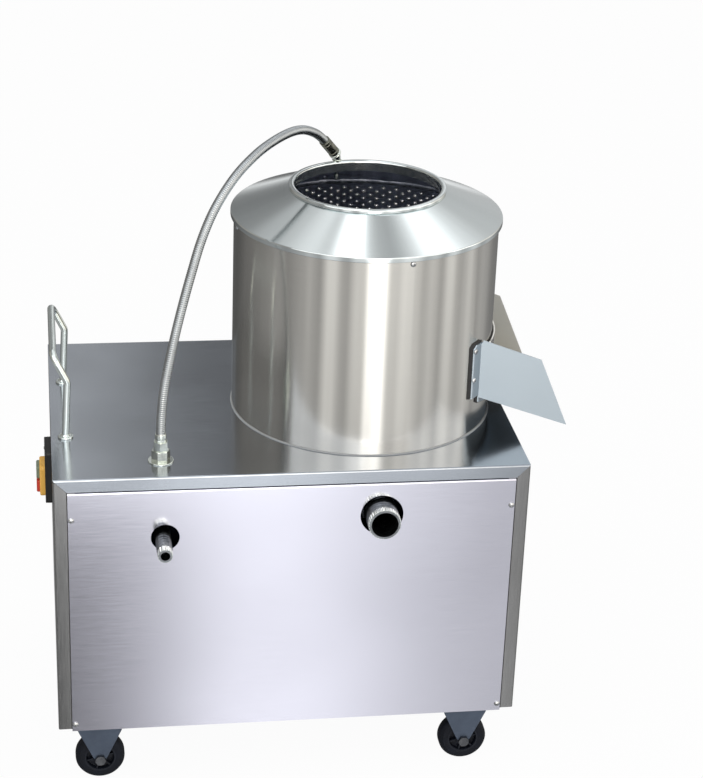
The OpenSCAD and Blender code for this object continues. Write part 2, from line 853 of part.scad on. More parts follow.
module hinge_leaf() {
    turn_near = hinge_turn + 0.6;
    turn_far = hinge_turn + 3.2;
    color("silver") stand() at_discharge() difference() {
        union() {
            translate([0, 0, knuckle_z]) arc_sheet(barrel_r + seat_gap, 2, turn_near, turn_far, 3 * knuckle_h);
            for (i = [0, 2]) translate([0, 0, knuckle_z + i * knuckle_h]) {
                at_hinge() cylinder(d = knuckle_d, h = knuckle_h);
                rotate(hinge_turn) translate([barrel_r + 1, 2.6, 0]) cube([5, 2.4, knuckle_h]);
            }
        }
        at_hinge() translate([0, 0, knuckle_z - 1]) cylinder(d = hinge_pin_d, h = 3 * knuckle_h + 2);
    }
}

module hinge_pin() {
    color("silver") stand() at_discharge() at_hinge() {
        translate([0, 0, knuckle_z - 2]) cylinder(r = hinge_pin_d / 2 - run_gap, h = 3 * knuckle_h + 3);
        translate([0, 0, knuckle_z + 3 * knuckle_h + seat_gap / 2]) cylinder(d = hinge_pin_d + 2, h = 2);
    }
}

// Outline of the door: a plate with cut corners and an ear for the middle knuckle
module door_shape() {
    low = opening_z - door_lap + 3;
    high = opening_z + opening_h + door_lap - 3;
    cut = 4;
    ear = door_in_r * sin(hinge_turn);
    polygon([
        [cut - door_half, low], [door_half, low], [door_half, knuckle_z + knuckle_h + pass_gap],
        [ear, knuckle_z + knuckle_h + pass_gap], [ear, knuckle_z + 2 * knuckle_h - pass_gap],
        [door_half, knuckle_z + 2 * knuckle_h - pass_gap], [door_half, high],
        [cut - door_half, high], [-door_half, high - cut], [-door_half, low + cut]
    ]);
}

module discharge_door() {
    color("silver") stand() at_discharge() difference() {
        union() {
            wall_piece(door_in_r, door_t) door_shape();
            translate([0, 0, knuckle_z + knuckle_h + pass_gap]) at_hinge()
                cylinder(d = knuckle_d, h = knuckle_h - 2 * pass_gap);
            rotate(latch_turn) translate([door_in_r + 0.3, 0, latch_z]) x_rod(11, door_t + 2);
        }
        at_hinge() translate([0, 0, knuckle_z]) cylinder(d = hinge_pin_d, h = 3 * knuckle_h);
        rotate(latch_turn) translate([door_in_r - 10, 0, latch_z]) x_rod(spindle_d / 2, 20);
    }
}

module door_gasket() {
    outer = opening_w / 2 + door_lap - 2;
    inner = opening_w / 2 + 0.5;
    high = opening_h + 2 * (door_lap - 4);
    color([0.08, 0.08, 0.08]) stand() at_discharge() intersection() {
        translate([0, 0, opening_z - door_lap + 4]) ring(barrel_r + pass_gap + door_seal_t - 0.05, barrel_r + pass_gap, high);
        difference() {
            translate([0, -outer, opening_z - door_lap + 4]) cube([barrel_r + 20, 2 * outer, high]);
            translate([-1, -inner, opening_z - 0.5]) cube([barrel_r + 40, 2 * inner, opening_h + 1]);
        }
    }
}

// The latch lies turned by its park angle at rest; its tongue then stands above the keeper
module latch_lever() {
    color("dimgray") stand() at_discharge() rotate(latch_turn) translate([0, 0, latch_z]) rotate([-latch_park, 0, 0]) {
        translate([door_in_r - 5, 0, 0]) x_rod(spindle_d / 2 - run_gap, 9 + door_t + latch_t);
        translate([door_in_r - 7, 0, 0]) x_rod(spindle_d / 2 + 3, 4);
        translate([latch_in, 0, 0]) x_rod(9, latch_t + 2);
        translate([latch_in, -latch_tongue, -latch_w / 2]) cube([latch_t, latch_tongue + latch_arm, latch_w]);
        translate([latch_in, latch_arm, 0]) x_rod(latch_w / 2, latch_t + 12);
    }
}

// ---- Water ----

// A point of the hose's upright plane in space
function hose_point(p) = [hose_foot[0] + p[0] * hose_heading[0], hose_foot[1] + p[0] * hose_heading[1], p[1]];

module in_hose_plane(p) {
    translate(hose_point(p)) rotate(atan2(hose_heading[1], hose_heading[0])) children();
}

module spray_nozzle() {
    foot = collar_z + seat_gap / 2;
    stem = elbow_corner[1] - elbow_leg;
    color("silver") stand() difference() {
        union() {
            in_hose_plane(elbow_from - ring_len * sleeve_way) rotate([0, 90 + hose_tilt, 0])
                cylinder(d = sleeve_d + 2, h = ring_len + join);
            in_hose_plane([hose_span - elbow_r, stem]) rotate([90, 0, 0])
                rotate_extrude(angle = 90 - hose_tilt) translate([elbow_r, 0]) circle(d = elbow_d);
            in_hose_plane([hose_span, foot]) cylinder(d = 16, h = stem - foot + join, $fn = 6);
            in_hose_plane([hose_span, foot - 22]) cylinder(d = nozzle_d, h = 23);
            in_hose_plane([hose_span, foot - 30]) cylinder(d1 = nozzle_d + 3, d2 = nozzle_d + 0.4, h = 8.5);
        }
        in_hose_plane([hose_span, foot - 31]) cylinder(d = nozzle_d - 3, h = 31);
    }
}

module hose_sleeve() {
    color("dimgray") stand() in_hose_plane(hose_end) rotate([0, 90 + hose_tilt, 0])
        cylinder(d = sleeve_d, h = sleeve_len);
}

// A smooth curve through b and c, between its neighbours a and d
function curve(a, b, c, d, t) = 0.5 * (2 * b + (c - a) * t + (2 * a - 5 * b + 4 * c - d) * t * t
    + (3 * b - a - 3 * c + d) * t * t * t);

module water_hose() {
    n = len(hose_route);
    pts = concat([hose_route[0] - [0, 30]], hose_route, [hose_end + 28 * sleeve_way]);
    path = concat(
        [for (i = [1 : n - 1], t = [0, 0.5]) curve(pts[i - 1], pts[i], pts[i + 1], pts[i + 2], t)],
        [hose_end]
    );
    m = len(path);
    sides = 10;
    cross = [-hose_heading[1], hose_heading[0], 0];
    rings = [for (i = [0 : m - 1])
        let (
            d = i == 0 ? [0, 1] : i == m - 1 ? sleeve_way : path[i + 1] - path[i - 1],
            u = d / norm(d),
            up = [-u[1] * hose_heading[0], -u[1] * hose_heading[1], u[0]]
        )
        for (k = [0 : sides - 1])
            hose_point(path[i]) + hose_d / 2 * (cos(360 * k / sides) * cross + sin(360 * k / sides) * up)];
    skin = [for (i = [0 : m - 2], k = [0 : sides - 1])
        [i * sides + k, i * sides + (k + 1) % sides, (i + 1) * sides + (k + 1) % sides, (i + 1) * sides + k]];
    foot_cap = [[for (k = [sides - 1 : -1 : 0]) k]];
    head_cap = [[for (k = [0 : sides - 1]) (m - 1) * sides + k]];
    color("silver") stand() polyhedron(rings, concat(skin, foot_cap, head_cap));
}

module hose_fitting() {
    top = hose_route[0][1];
    color("silver") stand() translate([inlet_x, fitting_y, 0]) difference() {
        union() {
            translate([0, 0, top_z]) cylinder(d = washer_d, h = 2);
            translate([0, 0, top_z + 2]) cylinder(d = 28, h = 16, $fn = 6);
            translate([0, 0, top_z + 18]) cylinder(d = 23, h = 14, $fn = 6);
            translate([0, 0, top_z + 32]) cylinder(d = 17, h = top - top_z - 32);
            translate([0, 0, top_z - 24]) cylinder(d = 18, h = 25);
            translate([0, 0, top_z - sheet_t - 8]) cylinder(d = 28, h = 8, $fn = 6);
        }
        translate([0, 0, top_z - 25]) cylinder(d = 10, h = 60);
    }
}

module riser_pipe() {
    r = 8;
    bend = 18;
    top = top_z - 24;
    color("silver") stand() translate([inlet_x, fitting_y, 0]) {
        translate([0, 0, inlet_z + bend]) cylinder(r = r, h = top - inlet_z - bend);
        translate([0, -bend, inlet_z + bend]) rotate([90, 0, 90]) rotate([0, 0, -90])
            rotate_extrude(angle = 90) translate([bend, 0]) circle(r);
        translate([0, -bend - 24, inlet_z]) y_rod(r, 24);
    }
}

module inlet_pipe() {
    back = fitting_y - 30;
    ribs = 5;
    color("silver") stand() translate([inlet_x, -inlet_out, inlet_z]) difference() {
        rotate([-90, 0, 0]) rotate_extrude() polygon(concat(
            [[0, 0], [inlet_d / 2, 0], [inlet_d / 2, 14]],
            [for (i = [0 : ribs - 1], p = [[0.6, 0], [1.6, 2.4], [0.6, 4.8]]) [inlet_d / 2 + p[0], 15 + i * 7 + p[1]]],
            [[inlet_d / 2 + 2, 16 + ribs * 7], [inlet_d / 2 + 2, inlet_out + back], [0, inlet_out + back]]
        ));
        translate([0, -1, 0]) y_rod(inlet_bore / 2, inlet_out + 12);
        translate([0, inlet_out + back - 12, 0]) y_rod(8 + seat_gap / 2, 14);
    }
}

module drain_pipe() {
    ribs = 5;
    len = drain_out + barrel_y - sqrt(basin_r * basin_r - pow(drain_d / 2, 2));
    color("silver") stand() difference() {
        translate([drum_x, -drain_out, drain_z]) difference() {
            rotate([-90, 0, 0]) rotate_extrude() polygon(concat(
                [[drain_bore / 2, 0], [drain_d / 2, 0], [drain_d / 2, 12]],
                [for (i = [0 : ribs - 1], p = [[0.4, 0], [1.4, 2.5], [0.4, 5]]) [drain_d / 2 + p[0], 13 + i * 6 + p[1]]],
                [[drain_d / 2, 15 + ribs * 6], [drain_d / 2, len], [drain_bore / 2, len]]
            ));
        }
        at_barrel() cylinder(r = basin_r + seat_gap / 2, h = top_z);
    }
}

// ---- Drive ----

// Half the width of the belt's section at a depth below a pulley's rim
function belt_half(deep) = belt_w / 2 - (deep + belt_up) * belt_lean;

module pulley_shape(d, bore_d) {
    r = d / 2;
    bore = bore_d / 2 + run_gap;
    side = pulley_w / 2;
    mouth = belt_half(0) + belt_side;
    bed = belt_half(groove) + belt_side;
    polygon([
        [bore, -side], [r, -side], [r, -mouth], [r - groove, -bed],
        [r - groove, bed], [r, mouth], [r, side], [bore, side]
    ]);
}

module driven_pulley() {
    color("slategray") stand() at_barrel(pulley_z) difference() {
        rotate_extrude() pulley_shape(big_pulley_d, shaft_d);
        for (s = [-1, 1]) translate([0, 0, s * (pulley_w / 2 - 3.5)]) translate([0, 0, -5])
            ring(big_pulley_d / 2 - groove - 10, 30, 10);
        for (a = [0 : 60 : 300]) rotate(a) translate([big_pulley_d / 4 + 8, 0, -pulley_w]) cylinder(d = 34, h = 2 * pulley_w);
    }
}

module motor_pulley() {
    color("slategray") stand() translate([motor_x, motor_y, pulley_z])
        rotate_extrude() pulley_shape(small_pulley_d, motor_shaft_d);
}

// The belt's section, out from a pulley's rim
module belt_shape(less) {
    deep = belt_t - belt_up;
    low = belt_half(deep) - less;
    high = belt_half(-belt_up) - less;
    polygon([[less - deep, -low], [belt_up - less, -high], [belt_up - less, high], [less - deep, low]]);
}

// The belt's bend round one pulley, from a direction and through an angle
module belt_bend(d, from, angle) {
    rotate(from) rotate_extrude(angle = angle) translate([d / 2, 0]) belt_shape(join_less / 2);
}

module v_belt() {
    way = [drum_x - motor_x, barrel_y - motor_y];
    heading = atan2(way[1], way[0]);
    rise = asin((big_pulley_d - small_pulley_d) / 2 / norm(way));
    run = norm(way) * cos(rise);
    color([0.12, 0.12, 0.12]) stand() {
        at_barrel(pulley_z) belt_bend(big_pulley_d, heading - 90 - rise, 180 + 2 * rise);
        translate([motor_x, motor_y, pulley_z]) {
            belt_bend(small_pulley_d, heading + 90 + rise, 180 - 2 * rise);
            for (s = [-1, 1]) rotate(heading) mirror([0, s < 0 ? 1 : 0, 0]) rotate(90 + rise)
                translate([small_pulley_d / 2, join, 0]) rotate([90, 0, 0])
                    linear_extrude(run + 2 * join) belt_shape(0);
        }
    }
}

module main_shaft() {
    foot = pulley_z - pulley_w / 2 - 6;
    color("silver") stand() at_barrel() {
        translate([0, 0, foot]) cylinder(r = shaft_d / 2 - run_gap, h = disc_z + 3 - foot);
        translate([0, 0, disc_z + 3]) cylinder(d = 16, h = 14);
    }
}

module abrasive_disc() {
    under = disc_z - disc_t;
    boss = 26;
    color("gray") stand() at_barrel() difference() {
        union() {
            translate([0, 0, under]) cylinder(d = disc_d, h = disc_t);
            translate([0, 0, under - boss]) cylinder(d = 76, h = boss + 1);
            intersection() {
                translate([0, 0, disc_z - 1]) cylinder(d = disc_d - 16, h = wave_h + 2);
                for (i = [0 : wave_count - 1]) rotate(i * 360 / wave_count)
                    translate([cap_d / 2 + 4, 0, disc_z - wave_r + wave_h]) rotate([0, 90, 0])
                        cylinder(r = wave_r, h = disc_d / 2);
            }
            for (a = [0, 180]) rotate(a) translate([34, -2, under - vane_h]) cube([disc_d / 2 - 44, 4, vane_h + 1]);
        }
        translate([0, 0, under - boss - 1]) cylinder(d = shaft_d, h = disc_t + boss + wave_h + 4);
    }
}

module disc_cap() {
    rise = 20;
    color("silver") stand() at_barrel(disc_z) difference() {
        rotate_extrude() polygon(concat(
            [[0, 0], [cap_d / 2, 0], [cap_d / 2, 4]],
            [for (a = [15 : 15 : 75]) [cap_d / 2 * cos(a), 4 + (rise - 4) * sin(a)]],
            [[0, rise]]
        ));
        translate([0, 0, -1]) cylinder(d = shaft_d, h = 4);
        translate([0, 0, 2]) cylinder(d = 16.2, h = 15.2);
    }
}

module bearing_housing() {
    top = bore_z - basin_t;
    flange_t = 10;
    flange_out = 42;
    wall = 12;
    step = 4;
    rib_t = 8;
    rib_foot = 10;
    rib_out = 28;
    rib_drop = 50;
    color("slategray") stand() at_barrel(top - housing_len) difference() {
        union() {
            cylinder(d = bearing_d + 2 * wall, h = housing_len);
            translate([0, 0, housing_len - flange_t]) cylinder(d = bearing_d + 2 * flange_out, h = flange_t);
            for (a = [30 : 60 : 330]) rotate(a) translate([bearing_d / 2 + rib_foot, rib_t / 2, housing_len - flange_t])
                rotate([90, 0, 0]) linear_extrude(rib_t)
                    polygon([[0, 1], [rib_out, 1], [0, -rib_drop]]);
        }
        translate([0, 0, -1]) cylinder(d = bearing_d - 2 * step, h = housing_len + 2);
        for (z = [-1, housing_len - bearing_w - 12]) translate([0, 0, z]) cylinder(d = bearing_d, h = bearing_w + 13);
    }
}

module bearings() {
    top = bore_z - basin_t;
    color("silver") stand() for (z = [top - housing_len + 12 - run_gap, top - bearing_w - 12 + run_gap])
        at_barrel(z) ring(bearing_d / 2 - run_gap, shaft_d / 2, bearing_w);
}

module shaft_seal() {
    color([0.12, 0.12, 0.12]) stand() at_barrel(bore_z - basin_t) ring(bearing_d / 2 + 1.9, shaft_d / 2 + 0.02, basin_t + 8);
}

module motor_housing() {
    body_r = motor_d / 2 - 12;
    shield = 16;
    color("steelblue") stand() translate([motor_x, motor_y, motor_z]) difference() {
        union() {
            cylinder(r = motor_d / 2 + 10, h = 10);
            cylinder(r = body_r + 6, h = motor_len);
            translate([0, 0, 10]) cylinder(d = motor_d, h = shield);
            translate([0, 0, motor_len - shield]) cylinder(d = motor_d, h = shield);
            translate([-30, -motor_d / 2, motor_len / 2 - 22]) cube([60, motor_d / 4, 44]);
            for (a = [0 : 15 : 345]) rotate(a) translate([body_r, -1.2, shield]) cube([motor_d / 2 - body_r - 1, 2.4, motor_len - 2 * shield]);
        }
        translate([0, 0, -1]) cylinder(r = motor_shaft_d / 2 + run_gap, h = motor_len + 2);
        for (a = [45 : 90 : 315]) rotate(a) translate([motor_d / 2 + 1, 0, -1]) cylinder(d = 7, h = 12);
    }
}

module motor_fan_cowl() {
    h = fan_up + fan_h + 11;
    vent_from = 22;
    vent_w = 6;
    color("steelblue") stand() translate([motor_x, motor_y, motor_z + motor_len]) difference() {
        cylinder(d = motor_d + 2, h = h);
        translate([0, 0, -1]) cylinder(d = motor_d - 2, h = h - 1);
        for (a = [0 : 30 : 330]) rotate(a) translate([vent_from, -vent_w / 2, h - 5])
            cube([motor_d / 2 - vent_from - 19, vent_w, 10]);
    }
}

module terminal_box() {
    deep = 34;
    color("steelblue") stand() translate([motor_x, motor_y - motor_d / 2 - seat_gap, motor_z + motor_len / 2])
        translate([-38, -deep, -28]) cube([76, deep, 56]);
}

module motor_bracket() {
    w = motor_d + 44;
    from = post_leg + 4;
    color("gray") stand() difference() {
        translate([motor_x - w / 2, from, bracket_z]) cube([w, cab_d - 2 * from, bracket_t]);
        translate([motor_x, motor_y, bracket_z - 1]) cylinder(d = small_pulley_d + 16, h = bracket_t + 2);
        for (a = [45 : 90 : 315]) translate([motor_x, motor_y, bracket_z - 1]) rotate(a)
            translate([motor_d / 2 + 1, 0, 0]) cylinder(d = 7, h = bracket_t + 2);
    }
}

module motor_shaft() {
    foot = pulley_z - pulley_w / 2 - 3;
    color("silver") stand() translate([motor_x, motor_y, foot])
        cylinder(d = motor_shaft_d, h = motor_z + motor_len + fan_up + fan_h + 3 - foot);
}

module motor_fan() {
    fan_r = motor_d / 2 - 15;
    hub_wall = 8;
    blade_from = motor_shaft_d / 2 + hub_wall / 2;
    blade_t = 2;
    color("dimgray") stand() translate([motor_x, motor_y, motor_z + motor_len + fan_up]) difference() {
        union() {
            cylinder(d = motor_shaft_d + 2 * hub_wall, h = fan_h);
            cylinder(r = fan_r, h = blade_t);
            for (a = [0 : 60 : 300]) rotate(a) translate([blade_from, -blade_t / 2, 0])
                cube([fan_r - 5.5 - blade_from, blade_t, fan_h - 2]);
        }
        translate([0, 0, -1]) cylinder(r = motor_shaft_d / 2 + run_gap, h = fan_h + 2);
    }
}

// ---- Switch ----

module switch_frame(low) {
    translate([0, box_y, base_z + box_up - low]) rotate([0, -90, 0]) children();
}

module switch_box() {
    color([0.08, 0.08, 0.08]) stand() switch_frame(0) soft_block([box_h, box_w, box_out], 5);
}

module switch_bezel() {
    room = 0.8;
    color("gold") stand() switch_frame(bezel_low) translate([0, 0, box_out]) difference() {
        soft_block([bezel_h, bezel_w, bezel_out], 6);
        for (s = [-1, 1]) translate([s * button_mid - (button_h + room) / 2, -(button_w + room) / 2, -1])
            cube([button_h + room, button_w + room, bezel_out + 2]);
    }
}

module button(s) {
    switch_frame(bezel_low) translate([s * button_mid, 0, box_out + bezel_out - button_sunk])
        soft_block([button_h, button_w, button_out + button_sunk], 2);
}

module start_button() {
    color("seagreen") stand() button(1);
}

module stop_button() {
    color("firebrick") stand() button(-1);
}

// ---- Handle ----

// A bend of the handle's tube in X and Z: it starts at the origin going up and leans towards -X
module handle_bend(angle) {
    translate([-bend_r, 0, 0]) rotate([90, 0, 0]) rotate_extrude(angle = angle)
        translate([bend_r, 0]) circle(d = handle_d - join_less);
}

// A straight length of the handle's tube that reaches a little into the bends beside it
module handle_rod(length, before, after) {
    translate([0, 0, -before]) cylinder(d = handle_d, h = length + before + after);
}

// Half of the handle: a post on its foot, a leaning arm and half of the cross bar
module handle_half() {
    post_lean = atan2(post_in, elbow_up);
    arm_way = [handle_x + post_in - bar_x, bar_up - elbow_up];
    arm_lean = atan2(arm_way[0], arm_way[1]);
    knee = bend_r * tan((post_lean + arm_lean) / 2);
    post = norm([post_in, elbow_up]) - knee;
    arm = norm(arm_way) - knee - bend_r;
    cylinder(d = handle_d + 12, h = 3);
    rotate([0, post_lean, 0]) difference() {
        union() {
            handle_rod(post, 3, join);
            translate([0, 0, post]) handle_bend(post_lean + arm_lean);
        }
        translate([-handle_d, -handle_d, -9]) cube([2 * handle_d, 2 * handle_d, 10]);
    }
    translate([post_in, 0, elbow_up]) rotate([0, -arm_lean, 0]) translate([0, 0, knee]) {
        handle_rod(arm, join, join);
        translate([0, bend_r, arm]) rotate([0, -90, 180]) rotate_extrude(angle = 90)
            translate([bend_r, 0]) circle(d = handle_d - join_less);
        translate([0, bend_r - join, arm + bend_r]) y_rod(handle_d / 2, handle_w / 2 - bend_r + 2 * join);
    }
}

module push_handle() {
    color("silver") stand() translate([handle_x, handle_y + handle_w / 2, top_z]) for (s = [0, 1])
        mirror([0, s, 0]) translate([0, -handle_w / 2, 0]) handle_half();
}

// ---- Casters ----

module caster_fork() {
    plate_t = 3;
    tip_r = axle_d / 2 + 6;
    drop = base_z - wheel_z;
    translate([-fork_w / 2, -cheek_in - fork_t, base_z - plate_t]) cube([fork_w, 2 * (cheek_in + fork_t), plate_t]);
    for (s = [-1, 1]) difference() {
        translate([0, s * cheek_in + (s > 0 ? fork_t : 0), wheel_z]) rotate([90, 0, 0]) linear_extrude(fork_t) union() {
            polygon([[-fork_w / 2, drop], [fork_w / 2, drop], [fork_w / 2 - 3, drop - 14],
                [tip_r, 0], [-tip_r, 0], [3 - fork_w / 2, drop - 14]]);
            circle(tip_r);
        }
        translate([0, -cheek_in - fork_t - 1, wheel_z]) y_rod(axle_d / 2, 2 * (cheek_in + fork_t) + 2);
    }
}

module caster_forks() {
    color("darkslategray") stand() for (p = caster_spots) translate([p[0], p[1], 0]) caster_fork();
}

module caster_axles() {
    half = cheek_in + fork_t;
    color("gray") stand() for (p = caster_spots) translate([p[0], p[1], wheel_z]) {
        translate([0, -half - 5, 0]) y_rod(axle_d / 2 - run_gap, 2 * half + 8);
        for (y = [-half - 5, half + seat_gap / 2]) translate([0, y, 0]) rotate([-90, 0, 0])
            cylinder(d = axle_d * 1.75, h = 5 - seat_gap / 2, $fn = 6);
    }
}

module wheel_hub() {
    rotate([-90, 0, 0]) rotate_extrude() polygon([
        [axle_d / 2, -wheel_w / 2], [axle_d / 2 + 5, -wheel_w / 2], [axle_d / 2 + 6, -5], [hub_r - 4, -5],
        [hub_r - 3, 1 - wheel_w / 2], [hub_r, 1 - wheel_w / 2], [hub_r, wheel_w / 2 - 1], [hub_r - 3, wheel_w / 2 - 1],
        [hub_r - 4, 5], [axle_d / 2 + 6, 5], [axle_d / 2 + 5, wheel_w / 2], [axle_d / 2, wheel_w / 2]
    ]);
}

module tyre() {
    r = wheel_d / 2;
    w = wheel_w / 2 - 1;
    rotate([-90, 0, 0]) rotate_extrude() polygon([
        [hub_r, -w], [r - 5, -w], [r - 1.5, 4 - w], [r, 8 - w], [r, w - 8], [r - 1.5, w - 4], [r - 5, w], [hub_r, w]
    ]);
}

module at_caster(i) {
    stand() translate([caster_spots[i][0], caster_spots[i][1], wheel_z]) children();
}

module hub_at(i) {
    color("dimgray") at_caster(i) wheel_hub();
}

module tyre_at(i) {
    color([0.1, 0.1, 0.1]) at_caster(i) tyre();
}

base_pan();
corner_posts();
support_rails();
top_plate();
left_side_panel();
right_side_panel();
front_panel();
back_panel();
cable_gland();
dome_screws();
barrel_shell();
barrel_bead();
drum_liner();
waste_basin();
hood();
feed_collar();
chute();
chute_gasket();
hinge_leaf();
hinge_pin();
discharge_door();
door_gasket();
latch_lever();
spray_nozzle();
hose_sleeve();
water_hose();
hose_fitting();
riser_pipe();
inlet_pipe();
drain_pipe();
motor_housing();
motor_fan_cowl();
terminal_box();
motor_bracket();
bearing_housing();
bearings();
shaft_seal();
v_belt();
main_shaft();
abrasive_disc();
disc_cap();
driven_pulley();
motor_shaft();
motor_pulley();
motor_fan();
switch_box();
switch_bezel();
start_button();
stop_button();
push_handle();
caster_forks();
caster_axles();
hub_at(0);  // wheel_hub_front_left
hub_at(1);  // wheel_hub_front_right
hub_at(2);  // wheel_hub_rear_left
hub_at(3);  // wheel_hub_rear_right
tyre_at(0);  // tyre_front_left
tyre_at(1);  // tyre_front_right
tyre_at(2);  // tyre_rear_left
tyre_at(3);  // tyre_rear_right
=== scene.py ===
"""Looks of the electric potato peeler, laid out as an add-on with an operator for each group of pieces.

Shapes are drawn in millimetres from the cabinet's left face, its front face and the floor, and
metres() puts them in the frame's own metres.
"""

import math

import bmesh
import bpy
from mathutils import Matrix, Vector


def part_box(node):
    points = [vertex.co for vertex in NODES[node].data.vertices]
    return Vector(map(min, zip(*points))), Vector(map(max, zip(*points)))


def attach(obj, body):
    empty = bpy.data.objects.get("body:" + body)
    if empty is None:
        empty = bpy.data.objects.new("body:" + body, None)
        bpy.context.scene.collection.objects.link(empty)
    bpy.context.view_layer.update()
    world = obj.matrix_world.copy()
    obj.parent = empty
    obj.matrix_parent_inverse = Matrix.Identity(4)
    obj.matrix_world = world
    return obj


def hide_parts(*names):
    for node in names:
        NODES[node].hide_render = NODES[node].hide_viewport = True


bl_info = {
    "name": "Electric potato peeler",
    "version": (1, 0, 0),
    "blender": (4, 5, 0),
    "location": "View3D > Sidebar > Peeler",
    "description": "Sheet steel, drum, water hose, switch and casters around the packed frame",
    "category": "Object",
}

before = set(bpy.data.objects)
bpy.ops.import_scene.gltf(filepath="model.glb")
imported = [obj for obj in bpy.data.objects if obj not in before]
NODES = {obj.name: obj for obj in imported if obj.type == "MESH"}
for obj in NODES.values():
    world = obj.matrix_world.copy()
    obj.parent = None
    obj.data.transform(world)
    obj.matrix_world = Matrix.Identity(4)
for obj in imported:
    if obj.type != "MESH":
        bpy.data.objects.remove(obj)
bpy.context.view_layer.update()


def box_mm(node):
    """A CAD node's lowest and highest corner in cabinet millimetres."""
    return [[(c[i] - ORIGIN[i]) * 1000 for i in range(3)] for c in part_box(node)]


_cabinet_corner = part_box("left_side_panel")[0]
ORIGIN = Vector((_cabinet_corner.x, _cabinet_corner.y, 0.0))

CAB_W = box_mm("top_plate")[1][0]
CAB_D = box_mm("left_side_panel")[1][1]
BASE_Z = box_mm("left_side_panel")[0][2]
TOP_Z = box_mm("top_plate")[1][2]
_bead_low, _bead_high = box_mm("barrel_bead")
BARREL = Vector(((_bead_low[0] + _bead_high[0]) / 2, (_bead_low[1] + _bead_high[1]) / 2, 0.0))
BEAD = _bead_high[2] - _bead_low[2]
BARREL_R = (_bead_high[0] - _bead_low[0]) / 2 - BEAD
_liner_low, _liner_high = box_mm("drum_liner")
LINER_R = (_liner_high[1] - _liner_low[1]) / 2
LINER_LOW, LINER_TOP = _liner_low[2], _liner_high[2]
LINER_T = 1.2
HOOD_R = (box_mm("hood")[1][0] - box_mm("hood")[0][0]) / 2
HOOD_RISE = 39
# Lower and upper edge of the hood's upright lip
SEAM_Z = LINER_TOP + 14
LIP_Z = SEAM_Z + 7.5
_collar_low, _collar_high = box_mm("feed_collar")
COLLAR_LOW, COLLAR_Z = _collar_low[2], _collar_high[2]
BAND_R = (_collar_high[0] - _collar_low[0]) / 2
BAND_W = 13
MOUTH_R = BAND_R - BAND_W
# The discharge opening in the drum's wall
DISCHARGE_TURN = math.radians(2)
OPENING_W, OPENING_LOW, OPENING_TOP = 180, 588, 648
HOSE_FOOT = Vector((158, 55, 0))
HOSE_HOLE_R = 9.2
INLET_STUB, DRAIN_STUB = (158, 0, 421), (480, 0, 448)
# The two round cut-outs in the front panel: place across and up, and radius
PANEL_HOLES = ((161, 425, 21), (480, 449, 32))
SCREW_ROWS = (BASE_Z + 8, TOP_Z - 65)
SCREW_X = (25.5, CAB_W - 25.5)
HOOD_SCREW_TURNS = (-172, -79, 8, 101)
CASTERS = {"front_left": (62, 30), "front_right": (628, 30), "rear_left": (62, 470), "rear_right": (628, 470)}
WHEEL_Z = 37.5
WHEEL_R = 37.5
# Half the width of a wheel's hub
HUB_HALF = 14


def metres(point):
    """A point in cabinet millimetres, in the frame's metres."""
    return (point[0] / 1000 + ORIGIN.x, point[1] / 1000 + ORIGIN.y, point[2] / 1000)


def srgb(red, green, blue):
    """A colour of 0 to 255 values as linear light."""
    return tuple(
        v / 12.92 if v <= 0.04045 else ((v + 0.055) / 1.055) ** 2.4
        for v in (red / 255, green / 255, blue / 255)
    )


# ---- Sizes and colours that a user would change ----


def length(name, description, millimetres):
    return bpy.props.FloatProperty(
        name=name, description=description, default=millimetres / 1000, min=0.0001, unit="LENGTH", precision=4
    )


def colour(name, description, *values):
    return bpy.props.FloatVectorProperty(
        name=name, description=description, default=srgb(*values), subtype="COLOR", min=0, max=1, size=3
    )


class PeelerCabinetSettings(bpy.types.PropertyGroup):
    sheet: length("Sheet thickness", "Thickness of the cabinet's sheet steel", 1.5)
    fold: length("Fold radius", "Outer radius of the folds in the cabinet's sheets", 2.6)
    lip: length("Lip height", "Height of the top plate's folded lip", 20)
    flange: length("Flange width", "Width of the side panels' folded flanges", 20)


class PeelerDrumSettings(bpy.types.PropertyGroup):
    bump_pitch: length("Bump pitch", "Distance between the bumps pressed into the liner", 12)
    bump_width: length("Bump width", "Diameter of a bump at its foot", 7.2)
    bump_height: length("Bump height", "How far a bump stands into the drum", 2.0)
    hood_sheet: length("Hood sheet", "Thickness of the hood's sheet", 2)
    band_sheet: length("Band sheet", "Thickness of the band around the feed mouth", 1.5)


class PeelerHoseSettings(bpy.types.PropertyGroup):
    diameter: length("Hose diameter", "Outer diameter of the flexible hose", 14)
    pitch: length("Corrugation pitch", "Distance between the hose's corrugations", 3.0)
    depth: length("Corrugation depth", "Depth of a corrugation", 0.5)


class PeelerFinishSettings(bpy.types.PropertyGroup):
    panel: colour("Front and back panels", "Brushed steel of the inset panels", 214, 214, 226)
    side: colour("Side panels", "Brushed steel of the side panels and flanges", 152, 152, 152)
    top: colour("Top plate", "Brushed steel of the top plate", 172, 178, 186)
    drum: colour("Barrel", "Brushed steel of the barrel", 226, 224, 218)
    hood: colour("Hood", "Spun steel of the hood and the band around its mouth", 224, 231, 232)
    chute: colour("Chute", "Sheet steel of the discharge chute", 186, 198, 207)
    tube: colour("Handle", "Polished steel of the handle and the pipes", 226, 234, 232)
    hose: colour("Hose", "Steel of the corrugated hose", 174, 179, 182)
    caster: colour("Caster forks", "Zinc-plated and greyed steel of the forks", 84, 95, 112)
    bezel: colour("Switch bezel", "Moulded plastic around the buttons", 240, 184, 78)
    start: colour("Start button", "Moulded plastic of the start button", 116, 130, 108)
    stop: colour("Stop button", "Moulded plastic of the stop button", 196, 52, 24)


